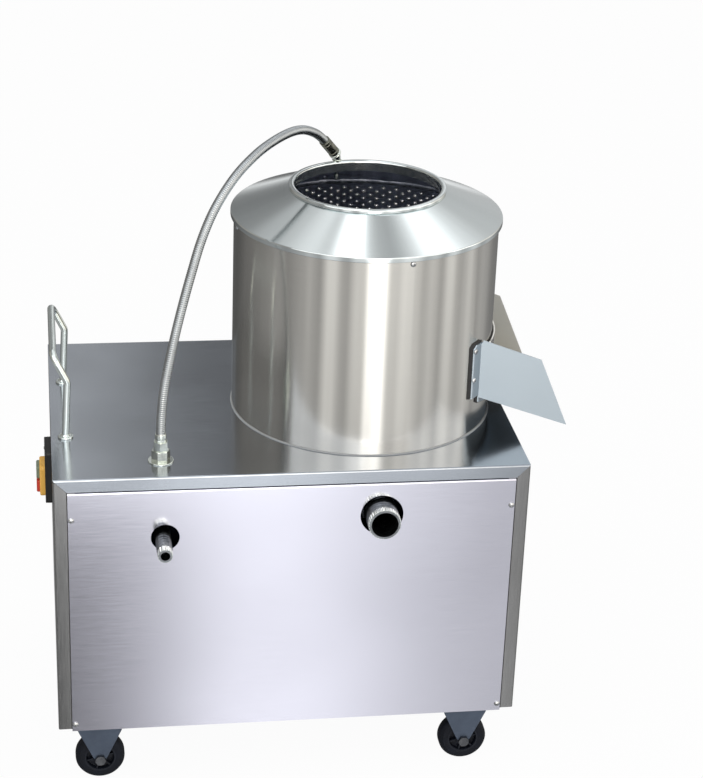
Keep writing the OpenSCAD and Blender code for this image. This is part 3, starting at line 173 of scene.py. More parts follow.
class PeelerStageSettings(bpy.types.PropertyGroup):
    surround: bpy.props.FloatProperty(
        name="Surround", description="Strength of the soft light all round", default=0.62, min=0
    )
    key: bpy.props.FloatProperty(
        name="Key light", description="Power of the large soft light", default=55, min=0
    )
    floor: colour("Floor", "Pale floor under the machine", 236, 236, 238)


SETTINGS = {
    "peeler_cabinet": PeelerCabinetSettings,
    "peeler_drum": PeelerDrumSettings,
    "peeler_hose": PeelerHoseSettings,
    "peeler_finish": PeelerFinishSettings,
    "peeler_stage": PeelerStageSettings,
}


# ---- Outlines and shapes: each shape is (points, faces, finish) in cabinet millimetres ----


def rounded(points, radius, steps=5, closed=True):
    """A polyline in two or three dimensions with its corners rounded.

    radius is one number, or one for each point.
    """
    points = [Vector(p) for p in points]
    count = len(points)
    out = []
    for i, corner in enumerate(points):
        r = radius[i] if hasattr(radius, "__len__") else radius
        if r <= 0 or (not closed and i in (0, count - 1)):
            out.append(corner.copy())
            continue
        back, on = points[i - 1] - corner, points[(i + 1) % count] - corner
        room = 0.49 * min(back.length, on.length)
        back.normalize()
        on.normalize()
        half = back.angle(on) / 2
        if half > math.pi / 2 - 0.01:
            out.append(corner.copy())
            continue
        reach = min(r / math.tan(half), room)
        centre = corner + (back + on).normalized() * (reach / math.cos(half))
        first, last = corner + back * reach - centre, corner + on * reach - centre
        sweep = first.angle(last)
        for k in range(steps + 1):
            share = k / steps
            out.append(
                centre
                + (first * math.sin((1 - share) * sweep) + last * math.sin(share * sweep)) / math.sin(sweep)
            )
    return out


def sheet_section(points, thickness, bend, steps=4):
    """The section of a folded sheet from its outer face's polyline; the sheet lies to the right of it."""
    points = [Vector(p) for p in points]
    inner = []
    for i, p in enumerate(points):
        sides = []
        if i > 0:
            sides.append((p - points[i - 1]).normalized())
        if i < len(points) - 1:
            sides.append((points[i + 1] - p).normalized())
        normals = [Vector((d.y, -d.x)) for d in sides]
        middle = sum(normals, Vector((0, 0))).normalized()
        inner.append(p + middle * thickness / middle.dot(normals[0]))
    out = rounded(points, bend, steps, closed=False)
    return out + rounded(inner, max(bend - thickness, 0.3), steps, closed=False)[::-1]


def strip(section, low, high, axis, finish):
    """A closed section drawn out along an axis; its ends may depend on the section's point."""

    def at(u, v, w):
        return {"X": (w, u, v), "Y": (u, w, v), "Z": (u, v, w)}[axis]

    count = len(section)
    points = [at(u, v, low(u, v)) for u, v in section] + [at(u, v, high(u, v)) for u, v in section]
    faces = [(k, (k + 1) % count, count + (k + 1) % count, count + k) for k in range(count)]
    faces += [tuple(range(count)), tuple(range(2 * count - 1, count - 1, -1))]
    return points, faces, finish


def skin(rings, finish, joined=False, capped=True):
    """Rings of as many points each, joined one to the next; joined closes the last on the first."""
    rows, count = len(rings), len(rings[0])
    points = [Vector(p) for ring in rings for p in ring]
    faces = []
    for i in range(rows if joined else rows - 1):
        here, there = i * count, (i + 1) % rows * count
        for k in range(count):
            on = (k + 1) % count
            faces.append((here + k, here + on, there + on, there + k))
    if capped and not joined:
        faces += [tuple(range(count)), tuple(range(rows * count - 1, (rows - 1) * count - 1, -1))]
    return points, faces, finish


def lathe(outline, centre, finish, axis="Z", steps=128):
    """A closed outline of (radius, height) turned about an axis through centre."""
    rings = []
    for i in range(steps):
        turn = 2 * math.pi * i / steps
        ring = []
        for r, h in outline:
            c, s = r * math.cos(turn), r * math.sin(turn)
            ring.append(Vector(centre) + Vector({"X": (h, c, s), "Y": (c, h, s), "Z": (c, s, h)}[axis]))
        rings.append(ring)
    return skin(rings, finish, joined=True)


def rod(centre, radius, low, high, axis, finish="fitting steel", steps=64):
    """A plain round rod."""
    return lathe([(0, low), (radius, low), (radius, high), (0, high)], centre, finish, axis, steps)


def mirrored(half):
    """An outline of (radius, height) and its mirror image below, as one."""
    return half + [(r, -h) for r, h in reversed(half)]


def frames_along(path):
    """The path's points, each with a side and an up that turn as little as they can."""
    path = [Vector(p) for p in path]
    last = len(path) - 1
    ways = [(path[min(i + 1, last)] - path[max(i - 1, 0)]).normalized() for i in range(last + 1)]
    side = ways[0].orthogonal().normalized()
    out = []
    for i, way in enumerate(ways):
        if i:
            side = (ways[i - 1].rotation_difference(way) @ side).normalized()
        out.append((path[i], side, way.cross(side)))
    return out


def tube(path, radius, finish, sides=20):
    """A round tube along a path; radius is one number or one for each point."""
    turns = [2 * math.pi * k / sides for k in range(sides)]
    rings = []
    for i, (centre, side, up) in enumerate(frames_along(path)):
        r = radius[i] if hasattr(radius, "__len__") else radius
        rings.append([centre + side * (r * math.cos(a)) + up * (r * math.sin(a)) for a in turns])
    return skin(rings, finish)


def turned(place, profile, finish, sides):
    """A tube whose profile of (distance, radius) runs along place(distance)."""
    return tube([place(a) for a, _ in profile], [r for _, r in profile], finish, sides)


def block(outline, levels, place, finish):
    """A solid from an outline at several levels: each level is (height, how much the outline shrinks)."""
    middle = sum((Vector(p) for p in outline), Vector((0, 0))) / len(outline)
    rings = []
    for height, shrink in levels:
        ring = []
        for i, p in enumerate(outline):
            before, after = Vector(outline[i - 1]), Vector(outline[(i + 1) % len(outline)])
            way = (after - before).normalized()
            out = Vector((way.y, -way.x))
            if out.dot(Vector(p) - middle) < 0:
                out = -out
            moved = Vector(p) - out * shrink
            ring.append(place(moved.x, moved.y, height))
        rings.append(ring)
    return skin(rings, finish)


def rounded_box(width, height, radius, steps=5):
    """The outline of a rectangle with rounded corners, centred on the origin."""
    w, h = width / 2, height / 2
    return rounded([(-w, -h), (w, -h), (w, h), (-w, h)], radius, steps)


def hexagon(across_corners, share=1.0, turn=0.0):
    """A hexagon in 24 points; its corners keep only a share of their reach, as a chamfer leaves them."""
    ring = []
    for k in range(24):
        a = math.radians(15 * k + turn)
        flat = math.cos(math.radians(30)) / math.cos(math.radians(15 * k % 60 - 30))
        reach = across_corners / 2 * min(flat, share)
        ring.append((reach * math.cos(a), reach * math.sin(a)))
    return ring


# ---- Making a piece ----


def material(finish):
    return bpy.data.materials[finish]


def linked(name, data):
    """A new object in the scene's collection."""
    made = bpy.data.objects.new(name, data)
    bpy.context.scene.collection.objects.link(made)
    return made


def mesh_from(name, bm):
    """A new mesh from a bmesh, which it frees."""
    mesh = bpy.data.meshes.new(name)
    bm.to_mesh(mesh)
    bm.free()
    return mesh


def evaluated(piece):
    """A piece's mesh with its modifiers applied."""
    graph = bpy.context.evaluated_depsgraph_get()
    return bpy.data.meshes.new_from_object(piece.evaluated_get(graph))


def settle(piece):
    """Replaces a piece's mesh by its evaluated one and drops the modifiers."""
    mesh = evaluated(piece)
    piece.modifiers.clear()
    piece.data = mesh
    mesh.name = piece.name


def mesh_of(name, shapes):
    """A mesh object at the origin from shapes in cabinet millimetres."""
    bm = bmesh.new()
    finishes = []
    for points, faces, finish in shapes:
        if finish not in finishes:
            finishes.append(finish)
        made = [bm.verts.new(metres(p)) for p in points]
        for face in faces:
            corners = [made[i] for i in face]
            if len(set(corners)) < 3:
                continue
            new = bm.faces.new(corners)
            new.material_index = finishes.index(finish)
            new.smooth = True
        bmesh.ops.remove_doubles(bm, verts=made, dist=1e-6)
    bmesh.ops.recalc_face_normals(bm, faces=bm.faces)
    mesh = mesh_from(name, bm)
    for finish in finishes:
        mesh.materials.append(material(finish))
    return linked(name, mesh)


def soften(piece, sharp, bevel):
    """Rounds a piece's sharp edges and marks the ones that stay sharp."""
    if bevel:
        edge = piece.modifiers.new("Edges", "BEVEL")
        edge.width = bevel / 1000
        edge.segments = 2
        edge.limit_method = "ANGLE"
        edge.angle_limit = math.radians(40)
        edge.harden_normals = False
        settle(piece)
    for face in piece.data.polygons:
        face.use_smooth = True
    piece.data.set_sharp_from_angle(angle=math.radians(sharp))
    flat = piece.modifiers.new("Flat faces", "WEIGHTED_NORMAL")
    flat.mode = "FACE_AREA"
    flat.weight = 100
    flat.keep_sharp = True
    settle(piece)


def cut(piece, shapes):
    """Cuts closed shapes out of a piece."""
    for shape in shapes:
        cutter = mesh_of("cutter", [(shape[0], shape[1], piece.data.materials[0].name)])
        away = piece.modifiers.new("Cut", "BOOLEAN")
        away.object = cutter
        away.operation = "DIFFERENCE"
        away.solver = "EXACT"
        settle(piece)
        bpy.data.objects.remove(cutter)


def piece_of(name, shapes, body, stands_for=(), sharp=32, bevel=0.0, cutters=()):
    """A finished piece that rides on a body and stands for the CAD nodes named."""
    piece = mesh_of(name, shapes)
    if cutters:
        cut(piece, cutters)
    soften(piece, sharp, bevel)
    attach(piece, body)
    if stands_for:
        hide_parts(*stands_for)
    return piece


# ---- Node trees ----

NUMBER, VECTOR, SHAPE = "NodeSocketFloat", "NodeSocketVector", "NodeSocketGeometry"


def node(tree, kind, inputs=(), **settings):
    """Adds a node, sets it, and links or sets its inputs, which are named or numbered."""
    new = tree.nodes.new(kind)
    for key, value in settings.items():
        setattr(new, key, value)
    for key, value in dict(inputs).items():
        if isinstance(value, bpy.types.NodeSocket):
            tree.links.new(value, new.inputs[key])
        else:
            new.inputs[key].default_value = value
    return new


def calc(tree, operation, *values):
    return node(tree, "ShaderNodeMath", dict(enumerate(values)), operation=operation).outputs[0]


def vector_calc(tree, operation, *values):
    return node(tree, "ShaderNodeVectorMath", dict(enumerate(values)), operation=operation).outputs[0]


def noise(tree, where, scale, detail, rough=0.5, seed=None):
    """The value of a noise texture, which has a fourth dimension where a seed is given."""
    inputs = {"Vector": where, "Scale": scale, "Detail": detail, "Roughness": rough}
    if seed is None:
        return node(tree, "ShaderNodeTexNoise", inputs).outputs[0]
    return node(tree, "ShaderNodeTexNoise", {**inputs, "W": seed}, noise_dimensions="4D").outputs[0]


def remap(tree, value, low, high, to_low, to_high, smooth=False):
    return node(
        tree,
        "ShaderNodeMapRange",
        {0: value, 1: low, 2: high, 3: to_low, 4: to_high},
        interpolation_type="SMOOTHSTEP" if smooth else "LINEAR",
    ).outputs[0]


def blend_colours(tree, share, first, second, kind="MIX"):
    def four(value):
        return value if isinstance(value, bpy.types.NodeSocket) else (*value, 1.0)

    return node(
        tree, "ShaderNodeMix", {0: share, 6: four(first), 7: four(second)}, data_type="RGBA", blend_type=kind
    ).outputs[2]


def ramp(tree, value, stops):
    """A ramp of greys; each stop is (place, level)."""
    new = node(tree, "ShaderNodeValToRGB", {0: value})
    elements = new.color_ramp.elements
    while len(elements) < len(stops):
        elements.new(0.5)
    for element, (place, level) in zip(elements, stops):
        element.position = place
        element.color = (level, level, level, 1)
    return new.outputs[0]


def group_tree(name, kind, inputs, outputs):
    """A node group with named inputs of (type, default) and outputs of type."""
    tree = bpy.data.node_groups.new(name, kind)
    for title, (socket, default) in inputs.items():
        made = tree.interface.new_socket(name=title, in_out="INPUT", socket_type=socket)
        if default is not None:
            made.default_value = default
    for title, socket in outputs.items():
        tree.interface.new_socket(name=title, in_out="OUTPUT", socket_type=socket)
    return tree, tree.nodes.new("NodeGroupInput"), tree.nodes.new("NodeGroupOutput")


def grain_group():
    """Brushed grain: fine lines along one direction, and soft broad clouds."""
    tree, start, end = group_tree(
        "Brushed grain",
        "ShaderNodeTree",
        {"Place": (VECTOR, None), "Stretch": (VECTOR, (1, 1, 1)), "Cloud scale": (NUMBER, 3.0)},
        {"Grain": NUMBER, "Cloud": NUMBER},
    )
    place = start.outputs["Place"]
    fine = noise(tree, vector_calc(tree, "MULTIPLY", place, start.outputs["Stretch"]), 1.0, 5.0, 0.72)
    broad = noise(tree, place, start.outputs["Cloud scale"], 2.0, 0.45)
    tree.links.new(remap(tree, fine, 0.3, 0.7, 0.0, 1.0), end.inputs["Grain"])
    tree.links.new(remap(tree, broad, 0.32, 0.68, 0.0, 1.0, smooth=True), end.inputs["Cloud"])
    return tree


def round_group():
    """Streaks and grain that follow a round wall about an upright axis; the streaks are partly the sheet's
    own tone and partly painted reflection.
    """
    tree, start, end = group_tree(
        "Round wall streaks",
        "ShaderNodeTree",
        {
            "Place": (VECTOR, None),
            "Axis": (VECTOR, (0, 0, 0)),
            "Streaks": (NUMBER, 9.0),
            "Lean": (NUMBER, 0.4),
            "Seed": (NUMBER, 0.0),
        },
        {"Streak": NUMBER, "Grain": NUMBER},
    )
    off = vector_calc(tree, "SUBTRACT", start.outputs["Place"], start.outputs["Axis"])
    x, y, z = node(tree, "ShaderNodeSeparateXYZ", {0: off}).outputs[:3]
    flat = node(tree, "ShaderNodeCombineXYZ", {0: x, 1: y}).outputs[0]
    out = vector_calc(tree, "NORMALIZE", flat)
    east, north = node(tree, "ShaderNodeSeparateXYZ", {0: out}).outputs[:2]
    height = calc(tree, "MULTIPLY", z, start.outputs["Lean"])
    spot = node(tree, "ShaderNodeCombineXYZ", {0: east, 1: north, 2: height}).outputs[0]
    broad = noise(tree, spot, start.outputs["Streaks"], 3.0, 0.6, start.outputs["Seed"])
    stretched = [calc(tree, "MULTIPLY", value, by) for value, by in ((east, 3.0), (north, 3.0), (z, 900.0))]
    lines = node(tree, "ShaderNodeCombineXYZ", dict(enumerate(stretched))).outputs[0]
    fine = noise(tree, lines, 1.0, 4.0, 0.7)
    tree.links.new(remap(tree, broad, 0.33, 0.67, 0.0, 1.0), end.inputs["Streak"])
    tree.links.new(remap(tree, fine, 0.3, 0.7, 0.0, 1.0), end.inputs["Grain"])
    return tree


def grit_group():
    """Coarse abrasive grit: its height, and the odd bright grain."""
    tree, start, end = group_tree(
        "Abrasive grit",
        "ShaderNodeTree",
        {"Place": (VECTOR, None), "Grain size": (NUMBER, 700.0)},
        {"Height": NUMBER, "Sparkle": NUMBER},
    )
    cells = node(
        tree,
        "ShaderNodeTexVoronoi",
        {"Vector": start.outputs["Place"], "Scale": start.outputs["Grain size"]},
    )
    tone = node(tree, "ShaderNodeSeparateColor", {0: cells.outputs["Color"]})
    tree.links.new(remap(tree, cells.outputs["Distance"], 0.0, 0.8, 1.0, 0.0), end.inputs["Height"])
    tree.links.new(remap(tree, tone.outputs[0], 0.82, 0.9, 0.0, 1.0), end.inputs["Sparkle"])
    return tree


def moulded_group():
    """The fine leathery texture of moulded plastic and rubber, and faint dust."""
    tree, start, end = group_tree(
        "Moulded texture",
        "ShaderNodeTree",
        {"Place": (VECTOR, None), "Size": (NUMBER, 1400.0), "Dust": (NUMBER, 0.5)},
        {"Height": NUMBER, "Dust": NUMBER},
    )
    place = start.outputs["Place"]
    spread = remap(tree, noise(tree, place, 34.0, 5.0, 0.7), 0.42, 0.75, 0.0, 1.0)
    tree.links.new(noise(tree, place, start.outputs["Size"], 2.0), end.inputs["Height"])
    tree.links.new(calc(tree, "MULTIPLY", spread, start.outputs["Dust"]), end.inputs["Dust"])
    return tree


GROUPS = {}


def place_and_group(tree, group, inputs):
    """Object coordinates into one of the shared groups."""
    where = tree.nodes.new("ShaderNodeTexCoord")
    new = node(tree, "ShaderNodeGroup", node_tree=GROUPS[group])
    for key, value in inputs.items():
        new.inputs[key].default_value = value
    tree.links.new(where.outputs["Object"], new.inputs["Place"])
    return new


def shader(name):
    """A new material with only its Principled shader and output."""
    made = bpy.data.materials.new(name)
    made.use_nodes = True
    tree = made.node_tree
    return made, tree, tree.nodes["Principled BSDF"]


def dress(tree, bsdf, tone, rough, height, bump, depth, plain):
    """Links a colour, a roughness and a relief to a shader, and sets its plain values."""
    relief = node(tree, "ShaderNodeBump", {"Height": height, "Strength": bump, "Distance": depth})
    for key, socket in (("Base Color", tone), ("Roughness", rough), ("Normal", relief.outputs[0])):
        tree.links.new(socket, bsdf.inputs[key])
    for key, value in plain.items():
        bsdf.inputs[key].default_value = value


def steel(name, marks, tones, rough, grain, bump, depth, plain):
    """Steel whose colour follows its grain and one broader mark; marks is (group, values, mark)."""
    _made, tree, bsdf = shader(name)
    group, values, broad = marks
    outputs = place_and_group(tree, group, values).outputs
    parts = [calc(tree, "MULTIPLY", outputs[key], by) for key, by in (("Grain", grain), (broad, 1 - grain))]
    light, dark = tones
    tone = blend_colours(tree, calc(tree, "ADD", *parts), dark, light)
    level, spread = rough
    duller = remap(tree, outputs["Grain"], 0, 1, level - spread, level + spread)
    dress(tree, bsdf, tone, duller, outputs["Grain"], bump, depth, plain)


def brushed(name, light, dark, rough, spread, stretch, clouds, grain=0.5, bump=0.04, metallic=1.0):
    """Flat or folded brushed steel: grain in its colour, roughness and relief, and soft clouds."""
    marks = ("grain", {"Stretch": stretch, "Cloud scale": clouds}, "Cloud")
    steel(name, marks, (light, dark), (rough, spread), grain, bump, 0.0004, {"Metallic": metallic})


def rolled(name, light, dark, rough, spread, streaks, lean, seed, aniso=0.0, bump=0.03):
    """Steel rolled or spun about the barrel's axis, with grain that runs round and upright streaks of tone
    that are partly the sheet's own and partly painted reflection.
    """
    x, y, _ = metres(BARREL)
    marks = ("round", {"Axis": (x, y, 0), "Streaks": streaks, "Lean": lean, "Seed": seed}, "Streak")
    plain = {"Metallic": 1.0, "Anisotropic": aniso, "Anisotropic Rotation": 0.25}
    steel(name, marks, (light, dark), (rough, spread), 0.18, bump, 0.0003, plain)


def moulded(name, base, dust_colour, rough, size, dust, bump, specular=0.5):
    """Moulded plastic or rubber with its fine texture and a little dust."""
    _made, tree, bsdf = shader(name)
    outputs = place_and_group(tree, "moulded", {"Size": size, "Dust": dust}).outputs
    tone = blend_colours(tree, outputs["Dust"], base, dust_colour)
    duller = remap(tree, outputs["Dust"], 0, 1, rough, min(rough + 0.25, 1))
    dress(tree, bsdf, tone, duller, outputs["Height"], bump, 0.0003, {"Specular IOR Level": specular})


def gritty(name, base, bright, size):
    """The abrasive coating of the peeling disc."""
    _made, tree, bsdf = shader(name)
    outputs = place_and_group(tree, "grit", {"Grain size": size}).outputs
    tone = blend_colours(tree, outputs["Sparkle"], base, bright)
    duller = remap(tree, outputs["Sparkle"], 0, 1, 0.85, 0.35)
    dress(tree, bsdf, tone, duller, outputs["Height"], 0.8, 0.0012, {})


def paint_far_reflection(made, tone, past, over=0.02):
    """Paints a warmer, darker tone into a finish behind an upright plane: a painted reflection of the barrel,
    which that part mirrors.
    """
    tree = made.node_tree
    base = tree.nodes["Principled BSDF"].inputs["Base Color"]
    before = base.links[0].from_socket
    where = node(tree, "ShaderNodeSeparateXYZ", {0: tree.nodes["Texture Coordinate"].outputs["Object"]})
    share = remap(tree, where.outputs[1], past, past + over, 0.0, 1.0)
    tree.links.new(blend_colours(tree, share, before, tone), base)


# Stretch of the grain where its lines run along X, along Z, or nowhere
ALONG_X, ALONG_Z = (30, 900, 900), (900, 900, 30)
FINE, MIDDLE, COARSE = (300, 300, 300), (200, 200, 200), (120, 120, 120)

# Steels: light tone, dark tone, roughness and its spread, stretch of the grain, scale of the clouds, the rest
STEELS = {
    "weld steel": ((196, 202, 216), (104, 110, 124), 0.42, 0.1, COARSE, 60.0, {"bump": 0.3}),
    "fitting steel": ((234, 241, 236), (190, 196, 192), 0.16, 0.05, FINE, 60.0, {}),
    "stub steel": ((150, 154, 158), (96, 100, 104), 0.3, 0.06, FINE, 60.0, {}),
    "sleeve steel": ((150, 150, 140), (92, 94, 86), 0.34, 0.06, FINE, 50.0, {}),
    "dark steel": ((110, 112, 116), (70, 72, 76), 0.38, 0.08, MIDDLE, 30.0, {}),
    "frame steel": ((150, 152, 156), (104, 106, 110), 0.42, 0.08, (80, 80, 80), 20.0, {}),
    "bolt steel": ((216, 218, 220), (160, 162, 164), 0.24, 0.05, FINE, 60.0, {}),
    "machined steel": ((196, 198, 198), (150, 152, 154), 0.22, 0.05, (80, 80, 600), 20.0, {}),
    "cast iron": ((96, 100, 106), (60, 62, 66), 0.55, 0.08, FINE, 40.0, {"bump": 0.3, "metallic": 0.6}),
}

# Mouldings: own tone, dust's tone, roughness, scale of the texture, dust, relief, specular level
MOULDINGS = {
    "sealant": ((70, 70, 67), (56, 55, 52), 0.55, 300, 0.6, 0.3, 0.3),
    "black rubber": ((26, 26, 28), (70, 70, 70), 0.6, 900, 0.25, 0.15, 0.5),
    "wheel black": ((12, 16, 26), (40, 47, 62), 0.5, 900, 0.3, 0.1, 0.25),
    "tyre rubber": ((8, 12, 21), (30, 37, 52), 0.6, 700, 0.35, 0.2, 0.2),
    "switch black": ((12, 12, 13), (44, 44, 43), 0.46, 2200, 0.2, 0.1, 0.5),
    "motor paint": ((58, 92, 132), (88, 104, 124), 0.42, 500, 0.4, 0.1, 0.5),
    "fan plastic": ((40, 42, 44), (84, 84, 84), 0.5, 900, 0.3, 0.1, 0.5),
}


def make_finishes(looks):
    """Every finish of the machine, by name."""

    def darker(value, share):
        return tuple(v * share for v in value)

    def sheet(name, light, dark, *rest, **more):
        brushed(name, light, darker(light, dark), *rest, **more)

    sheet("panel steel", looks.panel, 0.88, 0.14, 0.02, ALONG_X, 2.6, 0.12, bump=0.008)
    sheet("side steel", looks.side, 0.76, 0.2, 0.04, ALONG_Z, 3.4, 0.35)
    sheet("top steel", looks.top, 0.8, 0.17, 0.03, ALONG_X, 4.0, 0.12, bump=0.03)
    sheet("chute steel", looks.chute, 0.9, 0.42, 0.05, ALONG_X, 3.0, 0.3)
    # The chute's far plate gets a painted reflection of the barrel: warmer and darker behind the barrel's
    # middle
    paint_far_reflection(material("chute steel"), srgb(164, 164, 160), metres((0, BARREL.y, 0))[1])
    sheet("back steel", looks.panel, 0.84, 0.38, 0.06, ALONG_X, 2.0, 0.3)
    sheet("tube steel", looks.tube, 0.9, 0.17, 0.04, (60, 60, 60), 30.0)
    sheet("hose steel", looks.hose, 0.8, 0.30, 0.05, MIDDLE, 40.0)
    sheet("caster steel", looks.caster, 0.7, 0.42, 0.08, COARSE, 26.0, metallic=0.55)
    for name, (light, dark, rough, spread, stretch, clouds, rest) in STEELS.items():
        brushed(name, srgb(*light), srgb(*dark), rough, spread, stretch, clouds, **rest)
    # The barrel's upright streaks and the hood's radial wedges in the tone are partly painted reflection
    rolled(
        "drum steel", looks.drum, darker(looks.drum, 0.8), 0.155, 0.015, 3.4, 0.25, 4.0,
        aniso=0.92, bump=0.006,
    )
    rolled(
        "hood steel", looks.hood, darker(looks.hood, 0.9), 0.15, 0.015, 2.4, 0.0, 11.0, aniso=0.9, bump=0.006
    )
    rolled("inner steel", srgb(190, 198, 220), srgb(124, 130, 148), 0.30, 0.06, 5.0, 0.4, 2.0)
    # The bumps wear a near-white copy of the liner's steel, brighter than the liner they are pressed from:
    # painted highlight
    rolled("bump steel", srgb(254, 254, 254), srgb(244, 246, 250), 0.24, 0.04, 5.0, 0.4, 2.0)
    for name, (own, dusty, *rest) in MOULDINGS.items():
        moulded(name, srgb(*own), srgb(*dusty), *rest)
    for name, own, rough in (
        ("bezel yellow", looks.bezel, 0.38),
        ("start green", looks.start, 0.35),
        ("stop red", looks.stop, 0.35),
    ):
        moulded(name, own, darker(own, 0.8), rough, 2200, 0.3, 0.05)
    gritty("abrasive", srgb(92, 90, 88), srgb(176, 172, 166), 620)


NODE_FINISHES = {
    "frame steel": ("base_pan", "corner_posts", "support_rails", "motor_bracket"),
    "back steel": ("back_panel",),
    "black rubber": ("cable_gland", "chute_gasket", "door_gasket", "shaft_seal", "v_belt"),
    "drum steel": ("barrel_shell", "discharge_door"),
    "inner steel": ("drum_liner", "waste_basin"),
    "chute steel": ("chute",),
    "bolt steel": ("hinge_leaf", "hinge_pin", "dome_screws", "caster_axles"),
    "dark steel": ("latch_lever",),
    "fitting steel": ("spray_nozzle", "hose_fitting"),
    "stub steel": ("inlet_pipe", "drain_pipe"),
    "machined steel": ("main_shaft", "motor_shaft", "bearings", "disc_cap"),
    "cast iron": ("bearing_housing", "driven_pulley", "motor_pulley"),
    "motor paint": ("motor_housing", "motor_fan_cowl", "terminal_box"),
    "fan plastic": ("motor_fan",),
    "abrasive": ("abrasive_disc",),
    "tube steel": ("push_handle", "riser_pipe"),
    "top steel": ("top_plate",),
    "side steel": ("left_side_panel", "right_side_panel"),
    "panel steel": ("front_panel",),
    "hood steel": ("hood", "feed_collar"),
    "sealant": ("barrel_bead",),
    "hose steel": ("water_hose",),
    "sleeve steel": ("hose_sleeve",),
    "switch black": ("switch_box",),
    "bezel yellow": ("switch_bezel",),
    "start green": ("start_button",),
    "stop red": ("stop_button",),
    "caster steel": ("caster_forks",),
    "wheel black": tuple("wheel_hub_" + corner for corner in CASTERS),
    "tyre rubber": tuple("tyre_" + corner for corner in CASTERS),
}


class PEELER_OT_finishes(bpy.types.Operator):
    """Makes every finish and gives each solid of the frame its own"""

    bl_idname = "peeler.finishes"
    bl_label = "Finishes"

    def execute(self, context):
        GROUPS.update(grain=grain_group(), round=round_group(), grit=grit_group(), moulded=moulded_group())
        make_finishes(context.scene.peeler_finish)
        for finish, names in NODE_FINISHES.items():
            for name in names:
                for slot in NODES[name].material_slots:
                    slot.material = material(finish)
        return {"FINISHED"}


# ---- Stage ----

CAMERA_SPOT = (-0.387905, -2.94441, 1.89105)
CAMERA_YAW, CAMERA_PITCH, CAMERA_ROLL = math.radians(9.124), math.radians(24.264), math.radians(2.182)
LENS, SENSOR = 97.306, 36


class PEELER_OT_camera(bpy.types.Operator):
    """Places the camera in front, a little to the left and above"""

    bl_idname = "peeler.camera"
    bl_label = "Camera"

    def execute(self, context):
        yaw, pitch, roll = CAMERA_YAW, CAMERA_PITCH, CAMERA_ROLL
        ahead = Vector((math.sin(yaw) * math.cos(pitch), math.cos(yaw) * math.cos(pitch), -math.sin(pitch)))
        right = Vector((math.cos(yaw), -math.sin(yaw), 0))
        up = right.cross(ahead)
        across = math.cos(roll) * right + math.sin(roll) * up
        above = -math.sin(roll) * right + math.cos(roll) * up
        camera = linked("camera", bpy.data.cameras.new("camera"))
        turn = Matrix((across, above, -ahead)).transposed().to_4x4()
        camera.matrix_world = Matrix.Translation(CAMERA_SPOT) @ turn
        camera.data.lens = LENS
        camera.data.sensor_width = SENSOR
        camera.data.clip_start, camera.data.clip_end = 0.05, 100
        context.scene.camera = camera
        return {"FINISHED"}


# Soft cards of a studio, which only mirrored light sees, by direction round the machine as
# (share of a turn, level): 0 and 1 are behind it and 0.5 is in front.
# The barrel mirrors the walls a little below the horizon.
WALLS = [
    (0.000, 0.12), (0.120, 0.24), (0.180, 0.52), (0.206, 0.38), (0.238, 0.78), (0.270, 0.48), (0.284, 0.54),
    (0.298, 0.84), (0.312, 0.84), (0.330, 0.40), (0.356, 0.70), (0.380, 0.52), (0.402, 0.94), (0.428, 1.04),
    (0.444, 0.74), (0.463, 0.76), (0.479, 2.20), (0.513, 2.20), (0.522, 0.98), (0.546, 0.92), (0.562, 0.50),
    (0.576, 0.54), (0.594, 1.02), (0.610, 1.00), (0.630, 0.40), (0.656, 0.60), (0.670, 0.46), (0.715, 0.28),
    (0.745, 0.34), (0.800, 0.24), (0.870, 0.18), (0.930, 0.10),
]
# Above the horizon and behind the machine, for the top plate
UPPER = [
    (0.000, 0.80), (0.004, 0.76), (0.0075, 0.42), (0.0115, 0.18), (0.018, 0.14), (0.0225, 0.24),
    (0.026, 0.42), (0.034, 1.00), (0.043, 1.20), (0.052, 0.56), (0.066, 0.56), (0.100, 0.66), (0.160, 0.40),
    (0.840, 0.40), (0.930, 0.36), (0.955, 0.30), (0.975, 0.22), (0.988, 0.26), (0.996, 0.52), (1.000, 0.76),
]
# Near the floor, for the upright panels
LOWER = [
    (0.000, 0.30), (0.200, 0.36), (0.360, 0.50), (0.448, 0.60), (0.461, 0.62), (0.467, 0.72), (0.472, 1.02),
    (0.477, 1.42), (0.482, 1.64), (0.486, 1.52), (0.489, 1.00), (0.4925, 0.44), (0.4955, 0.22),
    (0.500, 0.16), (0.530, 0.20), (0.600, 0.40), (0.800, 0.42), (1.000, 0.30),
]
# Overhead, from the left of the camera's view to its right
CEILING = [
    (0.000, 0.30), (0.260, 0.34), (0.276, 0.40), (0.290, 0.56), (0.340, 0.65), (0.355, 0.72), (0.372, 0.90),
    (0.408, 1.05), (0.416, 0.78), (0.428, 0.74), (0.438, 1.00), (0.446, 1.90), (0.496, 1.90), (0.506, 0.92),
    (0.524, 0.62), (0.556, 0.48), (0.572, 0.56), (0.592, 0.86), (0.606, 1.10), (0.618, 1.70), (0.672, 1.70),
    (0.690, 1.05), (0.705, 0.90), (0.740, 0.84), (0.765, 0.68), (0.860, 0.50), (1.000, 0.36),
]
# Where the upper cards stand, and how much brighter the walls are above the horizon in front
BEHIND = [(0.105, 1.0), (0.125, 0.0), (0.925, 0.0), (0.945, 1.0)]
LIFT = [(0.480, 2.0), (0.520, 1.5), (0.580, 1.0), (0.720, 1.1), (0.860, 2.0)]
LIFT_TONE = (1.08, 1.01, 0.92)
# Heights, as the upward share of a direction, over which one row of cards gives way to the next
LOWER_TO_WALLS, WALLS_TO_UPPER, UPPER_TO_CEILING = (-0.458, -0.428), (-0.25, -0.05), (0.48, 0.62)
# The direction across the camera's view, and how far the ceiling reaches to each side in radians
ACROSS_X, ACROSS_Y, CEILING_REACH = 0.987, 0.158, 1.2


